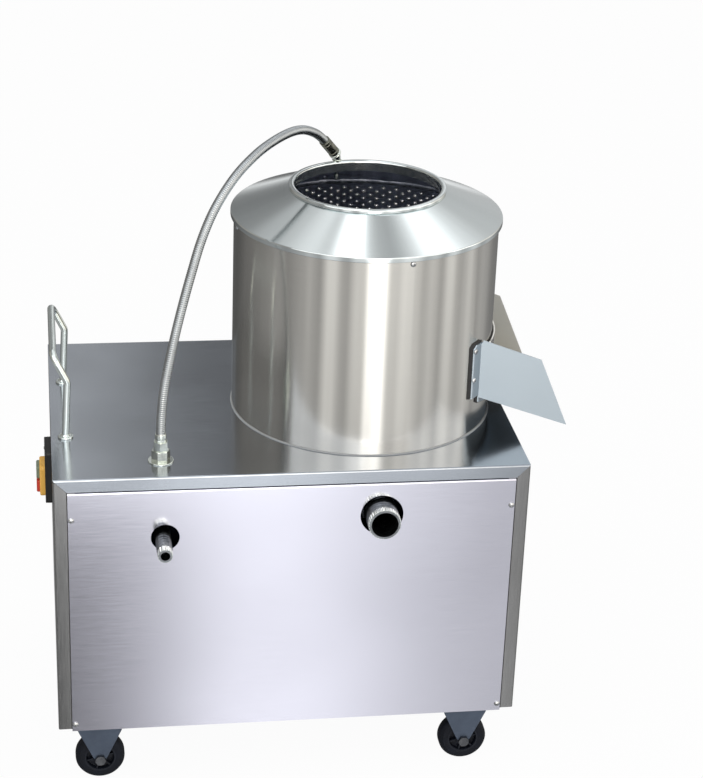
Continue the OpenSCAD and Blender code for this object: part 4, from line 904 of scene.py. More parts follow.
def surround(context):
    """Pale backdrop for the camera, soft light for the surfaces, and the studio cards for reflections."""
    world = bpy.data.worlds.new("surround")
    context.scene.world = world
    world.use_nodes = True
    tree = world.node_tree
    tree.nodes.clear()
    way = node(tree, "ShaderNodeTexCoord").outputs["Generated"]
    x, y, z = node(tree, "ShaderNodeSeparateXYZ", {0: way}).outputs[:3]

    def times(value, by):
        return calc(tree, "MULTIPLY", value, by)

    def over(heights, below, above):
        return blend_colours(tree, remap(tree, z, *heights, 0.0, 1.0, smooth=True), below, above)

    turn = calc(tree, "ARCTAN2", times(x, -1.0), times(y, -1.0))
    share = calc(tree, "ADD", calc(tree, "DIVIDE", turn, 2 * math.pi), 0.5)
    lean = calc(tree, "ARCTAN2", calc(tree, "SUBTRACT", times(x, ACROSS_X), times(y, ACROSS_Y)), z)
    ceiling = ramp(tree, remap(tree, lean, -CEILING_REACH, CEILING_REACH, 0.0, 1.0), CEILING)
    walls = ramp(tree, share, WALLS)
    lifted = blend_colours(tree, 1.0, walls, ramp(tree, share, LIFT), kind="MULTIPLY")
    warmer = blend_colours(tree, 1.0, lifted, LIFT_TONE, kind="MULTIPLY")
    upper = blend_colours(tree, ramp(tree, share, BEHIND), warmer, ramp(tree, share, UPPER))
    low = over(LOWER_TO_WALLS, ramp(tree, share, LOWER), walls)
    mirror = over(UPPER_TO_CEILING, over(WALLS_TO_UPPER, low, upper), ceiling)

    def background(colour, strength):
        return node(tree, "ShaderNodeBackground", {"Color": colour, "Strength": strength}).outputs[0]

    def either(ray, no, yes):
        return node(tree, "ShaderNodeMixShader", {0: rays.outputs[ray], 1: no, 2: yes}).outputs[0]

    white = (1, 1, 1, 1)
    rays = tree.nodes.new("ShaderNodeLightPath")
    soft = background(white, context.scene.peeler_stage.surround)
    bright = either("Is Glossy Ray", soft, background(mirror, 1.0))
    final = either("Is Camera Ray", bright, background(white, 1.0))
    tree.links.new(final, node(tree, "ShaderNodeOutputWorld").inputs[0])


def lamp(name, spot, aim, size, power):
    """A soft rectangular light that looks at a point; spot and aim are in metres."""
    data = bpy.data.lights.new(name, "AREA")
    data.shape, data.size, data.size_y, data.energy = "RECTANGLE", size[0], size[1], power
    made = linked(name, data)
    made.location = spot
    made.rotation_mode = "QUATERNION"
    made.rotation_quaternion = (Vector(aim) - Vector(spot)).to_track_quat("-Z", "Y")


def floor_finish(pale):
    """A matt floor that the camera sees almost white, with the machine's shadow."""
    made, tree, bsdf = shader("pale floor")
    bsdf.inputs["Roughness"].default_value = 0.9
    bsdf.inputs["Specular IOR Level"].default_value = 0.1
    cloud = noise(tree, tree.nodes.new("ShaderNodeTexCoord").outputs["Object"], 1.5, 3.0)
    shade = tuple(v * 0.985 for v in pale)
    tree.links.new(blend_colours(tree, cloud, shade, tuple(pale)), bsdf.inputs["Base Color"])
    rays = tree.nodes.new("ShaderNodeLightPath")
    glow = node(tree, "ShaderNodeEmission", {"Color": (1, 1, 1, 1), "Strength": 1.0})
    share = calc(tree, "MULTIPLY", rays.outputs["Is Camera Ray"], 0.96)
    both = node(tree, "ShaderNodeMixShader", {0: share, 1: bsdf.outputs[0], 2: glow.outputs[0]})
    tree.links.new(both.outputs[0], tree.nodes["Material Output"].inputs[0])
    return made


class PEELER_OT_stage(bpy.types.Operator):
    """Lays the pale floor, lights the machine softly and sets the colour view"""

    bl_idname = "peeler.stage"
    bl_label = "Stage"

    def execute(self, context):
        settings = context.scene.peeler_stage
        bm = bmesh.new()
        bmesh.ops.create_circle(bm, cap_ends=True, segments=96, radius=14)
        floor = linked("floor", mesh_from("floor", bm))
        floor.location.z = -0.0005
        floor.data.materials.append(floor_finish(settings.floor))
        floor.visible_glossy = False
        surround(context)
        middle = (0, 0, 0.5)
        lamp("key", (-1.6, -2.2, 3.0), middle, (4.4, 3.2), settings.key)
        lamp("fill", (2.6, -1.2, 2.2), middle, (3.2, 3.2), settings.key * 0.35)
        context.scene.view_settings.view_transform = "Standard"
        return {"FINISHED"}


# ---- Water hose ----

HOSE_ROUTE = [
    (0, 567), (2, 598), (8, 634), (19, 672), (33, 712), (50, 754), (70, 798), (92, 841),
    (122, 880), (166, 915), (214, 937), (258, 948), (300, 952), (333, 948), (364, 935), (386, 919),
]
NOZZLE_TURN = math.radians(105.5)
NOZZLE = BARREL + (MOUTH_R + 6.5) * Vector((math.cos(NOZZLE_TURN), math.sin(NOZZLE_TURN), 0))
HOSE_SPAN = (NOZZLE - HOSE_FOOT).length
HOSE_WAY = (NOZZLE - HOSE_FOOT) / HOSE_SPAN
ELBOW_CORNER = Vector((HOSE_SPAN, COLLAR_Z + 8))
ELBOW_R = 14
HOSE_TILT = math.atan2(HOSE_ROUTE[-1][1] - ELBOW_CORNER.y, ELBOW_CORNER.x - HOSE_ROUTE[-1][0])
SLEEVE_WAY = Vector((math.cos(HOSE_TILT), -math.sin(HOSE_TILT)))
ELBOW_LEG = ELBOW_R * math.tan((math.pi / 2 - HOSE_TILT) / 2)
ELBOW_FROM = ELBOW_CORNER - ELBOW_LEG * SLEEVE_WAY
RING_LEN = 6
SLEEVE_LEN = (ELBOW_FROM - Vector(HOSE_ROUTE[-1])).length - RING_LEN


def in_hose_plane(p):
    """A point (along, up) of the hose's upright plane in space."""
    return HOSE_FOOT + HOSE_WAY * p[0] + Vector((0, 0, p[1]))


def hose_line(pieces=6):
    """The hose's smooth route in cabinet millimetres: straight out of its foot and into its sleeve."""
    before, after = Vector(HOSE_ROUTE[0]) - Vector((0, 30)), Vector(HOSE_ROUTE[-1]) + 28 * SLEEVE_WAY
    pts = [before] + [Vector(p) for p in HOSE_ROUTE] + [after]
    line = []
    for i in range(1, len(pts) - 2):
        a, b, c, d = pts[i - 1 : i + 3]
        for k in range(pieces):
            t = k / pieces
            square, cube = (2 * a - 5 * b + 4 * c - d) * t * t, (3 * b - a - 3 * c + d) * t**3
            line.append(0.5 * (2 * b + (c - a) * t + square + cube))
    return [in_hose_plane(p) for p in line + [pts[-2]]]


def corrugated_tree(finish):
    """Sweeps a round section along a curve and presses a ring at every pitch."""
    tree, start, end = group_tree(
        "Corrugated hose",
        "GeometryNodeTree",
        {
            "Geometry": (SHAPE, None),
            "Radius": (NUMBER, 0.007),
            "Pitch": (NUMBER, 0.003),
            "Depth": (NUMBER, 0.001),
        },
        {"Geometry": SHAPE},
    )
    curve, full, pitch, depth = (start.outputs[name] for name in ("Geometry", "Radius", "Pitch", "Depth"))
    step = calc(tree, "DIVIDE", pitch, 6.0)
    fine = node(tree, "GeometryNodeResampleCurve", {"Curve": curve, "Length": step}, mode="LENGTH")
    along = calc(tree, "DIVIDE", node(tree, "GeometryNodeSplineParameter").outputs["Length"], pitch)
    wave = calc(tree, "COSINE", calc(tree, "MULTIPLY", along, 2 * math.pi))
    half = calc(tree, "MULTIPLY", depth, 0.5)
    swell = calc(tree, "MULTIPLY", calc(tree, "SUBTRACT", wave, 1.0), half)
    radius = calc(tree, "ADD", swell, full)
    section = node(tree, "GeometryNodeCurvePrimitiveCircle", {"Resolution": 20, "Radius": 1.0})
    solid = node(
        tree,
        "GeometryNodeCurveToMesh",
        {"Curve": fine.outputs[0], "Profile Curve": section.outputs[0], "Scale": radius, "Fill Caps": True},
    )
    smooth = node(tree, "GeometryNodeSetShadeSmooth", {0: solid.outputs[0]})
    finished(tree, smooth, finish, end)
    return tree


def finished(tree, last, finish, end):
    """Ends a geometry tree in real geometry that wears a finish."""
    real = node(tree, "GeometryNodeRealizeInstances", {0: last.outputs[0]})
    done = node(tree, "GeometryNodeSetMaterial", {0: real.outputs[0], "Material": material(finish)})
    tree.links.new(done.outputs[0], end.inputs["Geometry"])


def grow(piece, tree, values):
    """Runs a geometry tree on a piece, keeps the result as its mesh and drops the modifier."""
    modifier = piece.modifiers.new(tree.name, "NODES")
    modifier.node_group = tree
    sockets = {s.name: s.identifier for s in tree.interface.items_tree if s.in_out == "INPUT"}
    for name, value in values.items():
        modifier[sockets[name]] = value
    made = linked(piece.name + "_made", evaluated(piece))
    name = piece.name
    bpy.data.objects.remove(piece)
    made.name = made.data.name = name
    return made


def curve_of(name, path):
    """A curve object of one open polyline from cabinet millimetres."""
    data = bpy.data.curves.new(name, "CURVE")
    data.dimensions = "3D"
    spline = data.splines.new("POLY")
    spline.points.add(len(path) - 1)
    for point, place in zip(spline.points, path):
        point.co = (*metres(place), 1)
    return linked(name, data)


class PEELER_OT_hose(bpy.types.Operator):
    """Makes the corrugated hose, its crimp sleeve and the nozzle's elbow"""

    bl_idname = "peeler.hose"
    bl_label = "Water hose"

    def execute(self, context):
        settings = context.scene.peeler_hose
        line = hose_line()
        hose = grow(
            curve_of("corrugated_hose", line),
            corrugated_tree("hose steel"),
            {"Radius": settings.diameter / 2, "Pitch": settings.pitch, "Depth": settings.depth},
        )
        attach(hose, "cabinet")
        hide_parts("water_hose")

        def along(start):
            """Measures a distance from a point of the hose's plane along its straight end."""
            return lambda a: in_hose_plane(start + SLEEVE_WAY * a)

        full, groove, rim = 8.5, 7.4, 7.7
        shell = [(0, rim), (0.6, full), (5, full), (5.6, groove), (7, groove), (7.6, full)]
        for before_end, r in ((8, full), (7.4, groove), (6, groove), (5.4, full), (0.6, full), (0, rim)):
            shell.append((SLEEVE_LEN - before_end, r))
        sleeve = piece_of(
            "crimp_sleeve",
            [turned(along(Vector(HOSE_ROUTE[-1])), shell, "sleeve steel", 32)],
            "cabinet",
            ["hose_sleeve"],
            sharp=40,
        )
        foot, stem = COLLAR_Z + 0.1, ELBOW_CORNER.y - ELBOW_LEG
        elbow = [ELBOW_FROM - 3 * SLEEVE_WAY, ELBOW_CORNER, Vector((HOSE_SPAN, stem - 3))]
        bend = [in_hose_plane(p) for p in rounded(elbow, [0, ELBOW_R, 0], 10, closed=False)]
        ring = [(0, 8.4), (0.6, 9.4), (2.4, 9.4), (3, 8.7), (3.6, 9.4)]
        ring += [(RING_LEN - 0.6, 9.4), (RING_LEN, 8.2)]
        nut = [(foot, 7.4), (foot + 0.8, 8.0), (stem - 0.8, 8.0), (stem, 7.2)]
        spout = [(foot - 30, 5.3), (foot - 21.5, 4.0), (foot - 21, 3.8), (foot + 1, 3.8)]

        def upright(z):
            return NOZZLE + Vector((0, 0, z))

        piece_of(
            "spray_elbow",
            [
                tube(bend, 5.5, "fitting steel", 28),
                turned(along(ELBOW_FROM - RING_LEN * SLEEVE_WAY), ring, "fitting steel", 32),
                turned(upright, nut, "fitting steel", 6),
                turned(upright, spout, "fitting steel", 24),
            ],
            "cabinet",
            ["spray_nozzle"],
            sharp=40,
        )
        return {"FINISHED"}


class PEELER_OT_fittings(bpy.types.Operator):
    """Makes the hose's nuts and washer on the top plate and the flutes on the two pipe stubs on the front"""

    bl_idname = "peeler.fittings"
    bl_label = "Water fittings"

    def execute(self, context):
        def nut(across_corners, low, high, turn=0.0):
            rings, chamfer, edge = [], 1.2, 0.93
            for z, share in ((low, edge), (low + chamfer, 1.0), (high - chamfer, 1.0), (high, edge)):
                rings.append([HOSE_FOOT + Vector((x, y, z)) for x, y in hexagon(across_corners, share, turn)])
            return skin(rings, "fitting steel")

        def fluted(centre, low, high, inner, outer, count):
            rings, deep = [], 0.9
            for i in range(4 * count):
                turn = 2 * math.pi * (i + 0.5) / (4 * count)
                c, s, crest = math.cos(turn), math.sin(turn), outer if i % 4 < 2 else outer - deep
                side = (crest, low + 0.6), (crest, high - 0.6)
                section = ((inner, low), (crest - 0.4, low), *side, (inner, high))
                rings.append([Vector(centre) + Vector((r * c, y, r * s)) for r, y in section])
            return skin(rings, "fitting steel", joined=True)

        def round_part(outline, steps):
            return lathe([(r, TOP_Z + h) for r, h in outline], HOSE_FOOT, "fitting steel", steps=steps)

        hose_end = HOSE_ROUTE[0][1] - TOP_Z
        washer = rounded([(9, 0), (19, 0), (19, 2), (9, 2)], [0, 0.4, 0.9, 0], 3)
        ferrule = [(8.2, 31), (8.5, 32), (8.5, 34), (7.6, 34.8), (7.6, 37), (8.5, 37.8)]
        ferrule += [(8.5, hose_end - 1), (8.0, hose_end), (0, hose_end), (0, 31)]
        shank = rounded([(0, -24), (9, -24), (9, 1), (0, 1)], [0, 0.6, 0, 0], 2)
        piece_of(
            "hose_nuts",
            [
                round_part(washer, 64),
                nut(28, TOP_Z + 2, TOP_Z + 18, 8),
                nut(23, TOP_Z + 18, TOP_Z + 32, 22),
                round_part(ferrule, 48),
                round_part(shank, 32),
                nut(28, TOP_Z - 9.5, TOP_Z - 1.6),
            ],
            "cabinet",
            ["hose_fitting"],
            sharp=28,
        )
        piece_of(
            "stub_flutes",
            [
                fluted(INLET_STUB, -49.6, -36.2, 9.9, 11.2, 14),
                fluted(DRAIN_STUB, -29.6, -18.4, 22.9, 24.3, 34),
            ],
            "cabinet",
            sharp=30,
        )
        return {"FINISHED"}


# ---- Cabinet ----


class PEELER_OT_cabinet(bpy.types.Operator):
    """Folds the top plate, the side panels and the front panel"""

    bl_idname = "peeler.cabinet"
    bl_label = "Cabinet"

    def execute(self, context):
        settings = context.scene.peeler_cabinet
        sheet, fold = settings.sheet * 1000, settings.fold * 1000
        lip, flange = settings.lip * 1000, settings.flange * 1000
        corner, bevel = 4, 0.25

        def mitre(y, z):
            """How far the top plate's lips are cut back at a height, to meet the flanges."""
            return 0.0 if corner < y < CAB_D - corner else max(0.0, TOP_Z - z) * flange / lip

        outer = [(0, TOP_Z - lip), (0, TOP_Z), (CAB_D, TOP_Z), (CAB_D, TOP_Z - lip)]
        section = sheet_section(outer, sheet, fold)
        through = (TOP_Z - 10, TOP_Z + 10, "Z")
        piece_of(
            "top_sheet",
            [strip(section, mitre, lambda y, z: CAB_W - mitre(y, z), "X", "top steel")],
            "cabinet",
            ["top_plate"],
            bevel=bevel,
            cutters=[rod(BARREL, LINER_R + 0.1, *through, steps=160), rod(HOSE_FOOT, HOSE_HOLE_R, *through)],
        )

        def head(x, y):
            """The upper edge of a side panel and its flanges."""
            if 3 < y < CAB_D - 3:
                return TOP_Z - sheet
            return min(TOP_Z - sheet - 0.3, TOP_Z - x * lip / flange - 0.4)

        section = sheet_section([(flange, 0), (0, 0), (0, CAB_D), (flange, CAB_D)], sheet, fold)
        for side in ("left_side", "right_side"):
            points, faces, finish = strip(section, lambda x, y: BASE_Z, head, "Z", "side steel")
            if side == "right_side":
                points = [(CAB_W - x, y, z) for x, y, z in points]
            piece_of(side, [(points, faces, finish)], "cabinet", [side + "_panel"], bevel=bevel)

        low, high = box_mm("front_panel")
        narrow, face = 13.5, 3.4

        def left(y, z):
            """The panel's left edge: the part folded back behind the flanges is narrower than its face."""
            return low[0] + (narrow if y > face else 0)

        section = sheet_section([(0, low[2]), (0, high[2]), (high[1], high[2])], sheet, 3.2)
        piece_of(
            "front_sheet",
            [strip(section, left, lambda y, z: CAB_W - left(y, z), "X", "panel steel")],
            "cabinet",
            ["front_panel"],
            bevel=bevel,
            cutters=[rod((x, 0, z), r, -5, 5, "Y", steps=96) for x, z, r in PANEL_HOLES],
        )
        # Thin black strips beside the flanges stand for the shadow in the gaps between the front panel and
        # the flanges: painted shadow
        gap_strips, half = [], 0.7
        for x in (flange, CAB_W - flange):
            seam = [(x - half, -0.1), (x + half, -0.1), (x + half, sheet), (x - half, sheet)]
            foot, head_z = lambda u, v: BASE_Z, lambda u, v: TOP_Z - lip - 0.5
            gap_strips.append(strip(seam, foot, head_z, "Z", "black rubber"))
        piece_of("panel_seams", gap_strips, "cabinet")
        return {"FINISHED"}


# ---- Drum ----


def hood_top(r):
    """The height of the hood's outer face at a radius."""
    return LIP_Z + (HOOD_R - r) * HOOD_RISE / (HOOD_R - MOUTH_R)


class PEELER_OT_hood(bpy.types.Operator):
    """Spins the conical hood and the band around the feed mouth"""

    bl_idname = "peeler.hood"
    bl_label = "Hood"

    def execute(self, context):
        settings = context.scene.peeler_drum
        sheet, band = settings.hood_sheet * 1000, settings.band_sheet * 1000
        deep = sheet / math.cos(math.atan(HOOD_RISE / (HOOD_R - MOUTH_R)))
        inner, lip, rim = LINER_R - sheet, HOOD_R - sheet, MOUTH_R + band + 0.2
        # Each corner of the hood's section: radius, height and how round it is
        corners = [
            (inner, LINER_TOP, 0.4), (LINER_R, LINER_TOP, 0.4), (LINER_R, hood_top(LINER_R) - deep, 1.5),
            (lip, hood_top(lip) - deep, 2.2), (lip, SEAM_Z, 0.6), (HOOD_R, SEAM_Z, 0.8), (HOOD_R, LIP_Z, 2.0),
            (rim, hood_top(rim), 0), (rim, hood_top(rim) - deep, 0), (inner, hood_top(inner) - deep, 2.0),
        ]
        outline = rounded([(r, z) for r, z, _ in corners], [fold for _, _, fold in corners], 4)
        hood = piece_of(
            "hood_cone",
            [lathe(outline, BARREL, "hood steel", steps=192)],
            "cabinet",
            ["hood"],
            sharp=50,
        )
        hood.data.materials.append(material("inner steel"))
        axis = Vector(metres(BARREL))
        for face in hood.data.polygons:
            away = face.center - axis
            if face.normal.z < 0.2 and face.normal.x * away.x + face.normal.y * away.y < 0:
                face.material_index = 1
        # The band's outer wall stands inside the solid collar's
        band_r = BAND_R - 4
        seat = hood_top(band_r - band) + 0.2
        outer = [(MOUTH_R, COLLAR_LOW), (MOUTH_R, COLLAR_Z), (band_r, COLLAR_Z), (band_r, seat)]
        piece_of(
            "mouth_band",
            [lathe(sheet_section(outer, band, 3.4, 6), BARREL, "hood steel", steps=160)],
            "cabinet",
            ["feed_collar"],
            sharp=50,
        )
        return {"FINISHED"}


def circle(bm, radius, height, sides):
    """A ring of new vertices round the Z axis."""
    turns = [2 * math.pi * k / sides for k in range(sides)]
    return [bm.verts.new((radius * math.cos(a), radius * math.sin(a), height)) for a in turns]


def join_rings(bm, rings):
    for low, high in zip(rings, rings[1:]):
        for k in range(len(low)):
            on = (k + 1) % len(low)
            bm.faces.new((low[k], low[on], high[on], high[k]))


def template(name, bm):
    """A smooth object from a bmesh, to be copied by scatter."""
    for face in bm.faces:
        face.smooth = True
    return linked(name, mesh_from(name, bm))


def bump_shape(width, height):
    """A low pressed bump as a mesh object, its foot on the origin and its crown along Z."""
    rows, sides = [(1.0, -0.08), (0.92, 0.1), (0.34, 0.84), (0.16, 0.97)], 8
    bm = bmesh.new()
    rings = [circle(bm, width / 2 * r, height * h, sides) for r, h in rows]
    crown = bm.verts.new((0, 0, height))
    foot = bm.verts.new((0, 0, height * rows[0][1]))
    join_rings(bm, rings)
    for k in range(sides):
        on = (k + 1) % sides
        bm.faces.new((rings[-1][k], rings[-1][on], crown))
        bm.faces.new((rings[0][on], rings[0][k], foot))
    return template("bump", bm)


def scatter_tree(name, finish):
    """Sets a copy of a template at every point, its Z along the point's facing, and gives it a finish."""
    tree, start, end = group_tree(
        name,
        "GeometryNodeTree",
        {
            "Geometry": (SHAPE, None),
            "Template": ("NodeSocketObject", None),
            "Size": (NUMBER, 1.0),
            "Seed": ("NodeSocketInt", 7),
        },
        {"Geometry": SHAPE},
    )
    points, copied, size, seed = (start.outputs[name] for name in ("Geometry", "Template", "Size", "Seed"))
    shape = node(tree, "GeometryNodeObjectInfo", {"Object": copied}, transform_space="ORIGINAL")
    facing = node(tree, "GeometryNodeInputNamedAttribute", {"Name": "facing"}, data_type="FLOAT_VECTOR")
    turn = node(tree, "FunctionNodeAlignRotationToVector", {"Vector": facing.outputs[0]}, axis="Z")
    spin = node(tree, "FunctionNodeRandomValue", {2: -3.14, 3: 3.14, "Seed": seed}, data_type="FLOAT")
    own = node(tree, "FunctionNodeAxisAngleToRotation", {"Axis": (0, 0, 1), "Angle": spin.outputs[1]})
    both = node(
        tree, "FunctionNodeRotateRotation", {0: turn.outputs[0], 1: own.outputs[0]}, rotation_space="LOCAL"
    )
    placed = node(
        tree,
        "GeometryNodeInstanceOnPoints",
        {"Points": points, "Instance": shape.outputs["Geometry"], "Rotation": both.outputs[0], "Scale": size},
    )
    finished(tree, placed, finish, end)
    return tree


def points_of(name, spots):
    """A mesh of loose points with a facing; each spot is (place in cabinet millimetres, direction)."""
    mesh = bpy.data.meshes.new(name)
    mesh.from_pydata([metres(place) for place, _ in spots], [], [])
    facing = mesh.attributes.new("facing", "FLOAT_VECTOR", "POINT")
    facing.data.foreach_set("vector", [v for _, way in spots for v in way])
    return linked(name, mesh)


def scatter(name, spots, shape, finish, body, stands_for=()):
    """One piece made of a template's copies; the template is removed."""
    values = {"Template": shape, "Size": 1.0, "Seed": 7}
    made = grow(points_of(name, spots), scatter_tree(name + " layout", finish), values)
    made.data.set_sharp_from_angle(angle=math.radians(40))
    bpy.data.objects.remove(shape)
    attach(made, body)
    if stands_for:
        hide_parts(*stands_for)


def around_barrel(turn, r, z):
    """A place at an angle in radians round the barrel's axis, and its outward direction."""
    out = Vector((math.cos(turn), math.sin(turn), 0))
    return BARREL + out * r + Vector((0, 0, z)), out


def at_opening(turn, z, room=5):
    """Whether a place on the drum's wall lies in the discharge opening or within some room of it."""
    local = (turn - DISCHARGE_TURN + math.pi) % (2 * math.pi) - math.pi
    return (
        abs(local) < 1.2
        and abs((LINER_R - LINER_T) * math.sin(local)) < OPENING_W / 2 + room
        and OPENING_LOW - room < z < OPENING_TOP + room
    )


def waves(turn, *terms):
    """A sum of sine waves round a circle; each term is (height, how many, start)."""
    return sum(height * math.sin(count * turn + start) for height, count, start in terms)


def bead_round(section, finish, steps=240):
    """A closed bead round the barrel's axis; section(turn) gives its (radius, height) points."""
    turns = [2 * math.pi * i / steps for i in range(steps)]
    rings = [[around_barrel(turn, r, z)[0] for r, z in section(turn)] for turn in turns]
    return skin(rings + rings[:1], finish, capped=False)


class PEELER_OT_drum(bpy.types.Operator):
    """Presses the liner's bumps and lays the barrel's weld seam and sealant"""

    bl_idname = "peeler.drum"
    bl_label = "Drum"

    def execute(self, context):
        settings = context.scene.peeler_drum
        pitch = settings.bump_pitch * 1000
        inner, lowest = LINER_R - LINER_T, 584
        columns = 2 * round(math.pi * inner / (pitch * math.sin(math.pi / 3)))
        rows = int((LINER_TOP - LINER_LOW - pitch) / pitch)
        spots = []
        for i in range(columns):
            turn = 2 * math.pi * i / columns
            for k in range(rows + 1):
                z = LINER_TOP - pitch * (0.8 + k + 0.5 * (i % 2))
                if z >= lowest and not at_opening(turn, z):
                    place, out = around_barrel(turn, inner + 0.05, z)
                    spots.append((place, -out))
        bump = bump_shape(settings.bump_width, settings.bump_height)
        # The bumps wear the near-white steel of painted highlight
        scatter("liner_bumps", spots, bump, "bump steel", "cabinet")

        # The sealant is narrower than its solid; the fillet's section is a quarter round, the weld's a half
        arc, wide, foot = 7, BEAD * 0.62, BARREL_R + 0.15
        quarter = [math.pi / 2 * k / arc for k in range(arc + 1)]
        half = [math.pi * (k / arc - 0.5) for k in range(arc + 1)]

        def fillet(turn):
            wave = waves(turn, (0.16, 9, 1), (0.12, 23, 0), (0.08, 57, 2))
            across, up = wide + wave * 0.8, wide + wave
            outer = [(foot + across * math.cos(a), TOP_Z + up * math.sin(a)) for a in quarter]
            return [(foot, TOP_Z)] + outer

        def weld(turn):
            wave = waves(turn, (0.5, 7, 2), (0.35, 19, 0), (0.2, 43, 1))
            middle, deep, tall = LINER_TOP + 1.2 + wave * 0.6, 1.8 + wave * 0.4, 4.2 + wave * 0.6
            return [(inner + 0.2 - deep * math.cos(a), middle + tall * math.sin(a)) for a in half]

        piece_of(
            "sealant_bead", [bead_round(fillet, "sealant")], "cabinet", ["barrel_bead"], sharp=60
        )
        piece_of("liner_weld", [bead_round(weld, "weld steel")], "cabinet", sharp=60)
        seam, steps, turn = [], 60, math.radians(97)
        low, high = TOP_Z + BEAD + 1, SEAM_Z - 1
        for i in range(steps + 1):
            z = low + i * (high - low) / steps
            wide = 0.008 + 0.0009 * math.sin(i * 1.7)
            section = ((-wide, -0.1), (-wide * 0.5, 0.35), (0, 0.5), (wide * 0.5, 0.35), (wide, -0.1))
            seam.append([around_barrel(turn + a, BARREL_R + r, z)[0] for a, r in section])
        piece_of("barrel_weld", [skin(seam, "drum steel")], "cabinet", sharp=60)
        return {"FINISHED"}


# ---- Fasteners ----


def screw_shape(diameter, height, shank):
    """A dome head with a cross recess and its shank of (diameter, length), the head's seat on the origin."""
    sides, recess, rim = 24, diameter * 0.26, 0.14
    rows = [(shank[0] / 2, -shank[1]), (shank[0] / 2, 0.0), (diameter / 2, 0.0), (diameter / 2, height * rim)]
    for degrees in (22, 40, 56):
        a = math.radians(degrees)
        rows.append((diameter / 2 * math.cos(a), height * (rim + (1 - rim) * math.sin(a))))
    bm = bmesh.new()
    rings = [circle(bm, r, h, sides) for r, h in rows]
    cross = []
    for k in range(sides):
        a = 2 * math.pi * k / sides
        r = recess * {0: 1, 3: 0.34}.get(k % 6, 0.42)
        cross.append((r * math.cos(a), r * math.sin(a)))
    top = [bm.verts.new((x, y, height * 0.93)) for x, y in cross]
    bed = [bm.verts.new((x * 0.8, y * 0.8, height * 0.45)) for x, y in cross]
    join_rings(bm, rings + [top, bed])
    bm.faces.new(rings[0][::-1])
    bm.faces.new(bed)
    bmesh.ops.scale(bm, vec=(0.001, 0.001, 0.001), verts=bm.verts)
    bmesh.ops.recalc_face_normals(bm, faces=bm.faces)
    return template("screw", bm)


class PEELER_OT_screws(bpy.types.Operator):
    """Sets the dome-head screws of the panels, the hood and the chute"""

    bl_idname = "peeler.screws"
    bl_label = "Screws"

    def execute(self, context):
        spots = []
        for x in SCREW_X:
            for z in SCREW_ROWS:
                spots.append(((x, 0, z), Vector((0, -1, 0))))
                spots.append(((x, CAB_D, z), Vector((0, 1, 0))))
        for turn in HOOD_SCREW_TURNS:
            spots.append(around_barrel(math.radians(turn), BARREL_R, SEAM_Z - 5))
        # The last four hold the chute's flanges to the barrel
        flange_r, flange_out, edge = 202.8, 1.5, math.asin(131 / 200)
        turn = edge + 10 / flange_r + math.radians(1)
        for side in (-1, 1):
            for z in (613, 660):
                spots.append(around_barrel(DISCHARGE_TURN + side * turn, flange_r + flange_out, z))
        screw = screw_shape(9, 2.8, (4.8, 6))
        scatter("dome_heads", spots, screw, "bolt steel", "cabinet", ["dome_screws"])
        return {"FINISHED"}


# ---- Handle ----


class PEELER_OT_handle(bpy.types.Operator):
    """Bends the push handle and seats its two feet"""

    bl_idname = "peeler.handle"
    bl_label = "Push handle"

    def execute(self, context):
        ends, foot_x, knee_x, bar_x, knee_z, bar_z = (144, 345), 22, 26, 6, TOP_Z + 90, TOP_Z + 131
        near, far = ([(foot_x, y, TOP_Z + 1), (knee_x, y, knee_z), (bar_x, y, bar_z)] for y in ends)
        shapes = [tube(rounded(near + far[::-1], 16, 10, closed=False), 5.5, "tube steel", 28)]
        foot = [(0, 0), (11.5, 0), (11.5, 3), (7.4, 3.2), (5.2, 5.6), (0, 5.6)]
        foot = rounded(foot, [0, 0.4, 1.2, 1.6, 0.8, 0], 4)
        for y in ends:
            shapes.append(lathe(foot, (foot_x, y, TOP_Z), "tube steel", steps=48))
        piece_of("handle_tube", shapes, "cabinet", ["push_handle"], sharp=45)
        return {"FINISHED"}


# ---- Switch ----

# The switch's middle on the left side, along and up, and its bezel's and buttons' place below and above that
SWITCH_Y, SWITCH_Z = 184, 450
BEZEL_DROP, BUTTON_STEP = 10, 11.5


def on_switch(above):
    """Puts an outline on the left side, above the switch's middle; its heights stand out to the left."""
    return lambda u, v, h: Vector((-h, SWITCH_Y + u, SWITCH_Z + above + v))


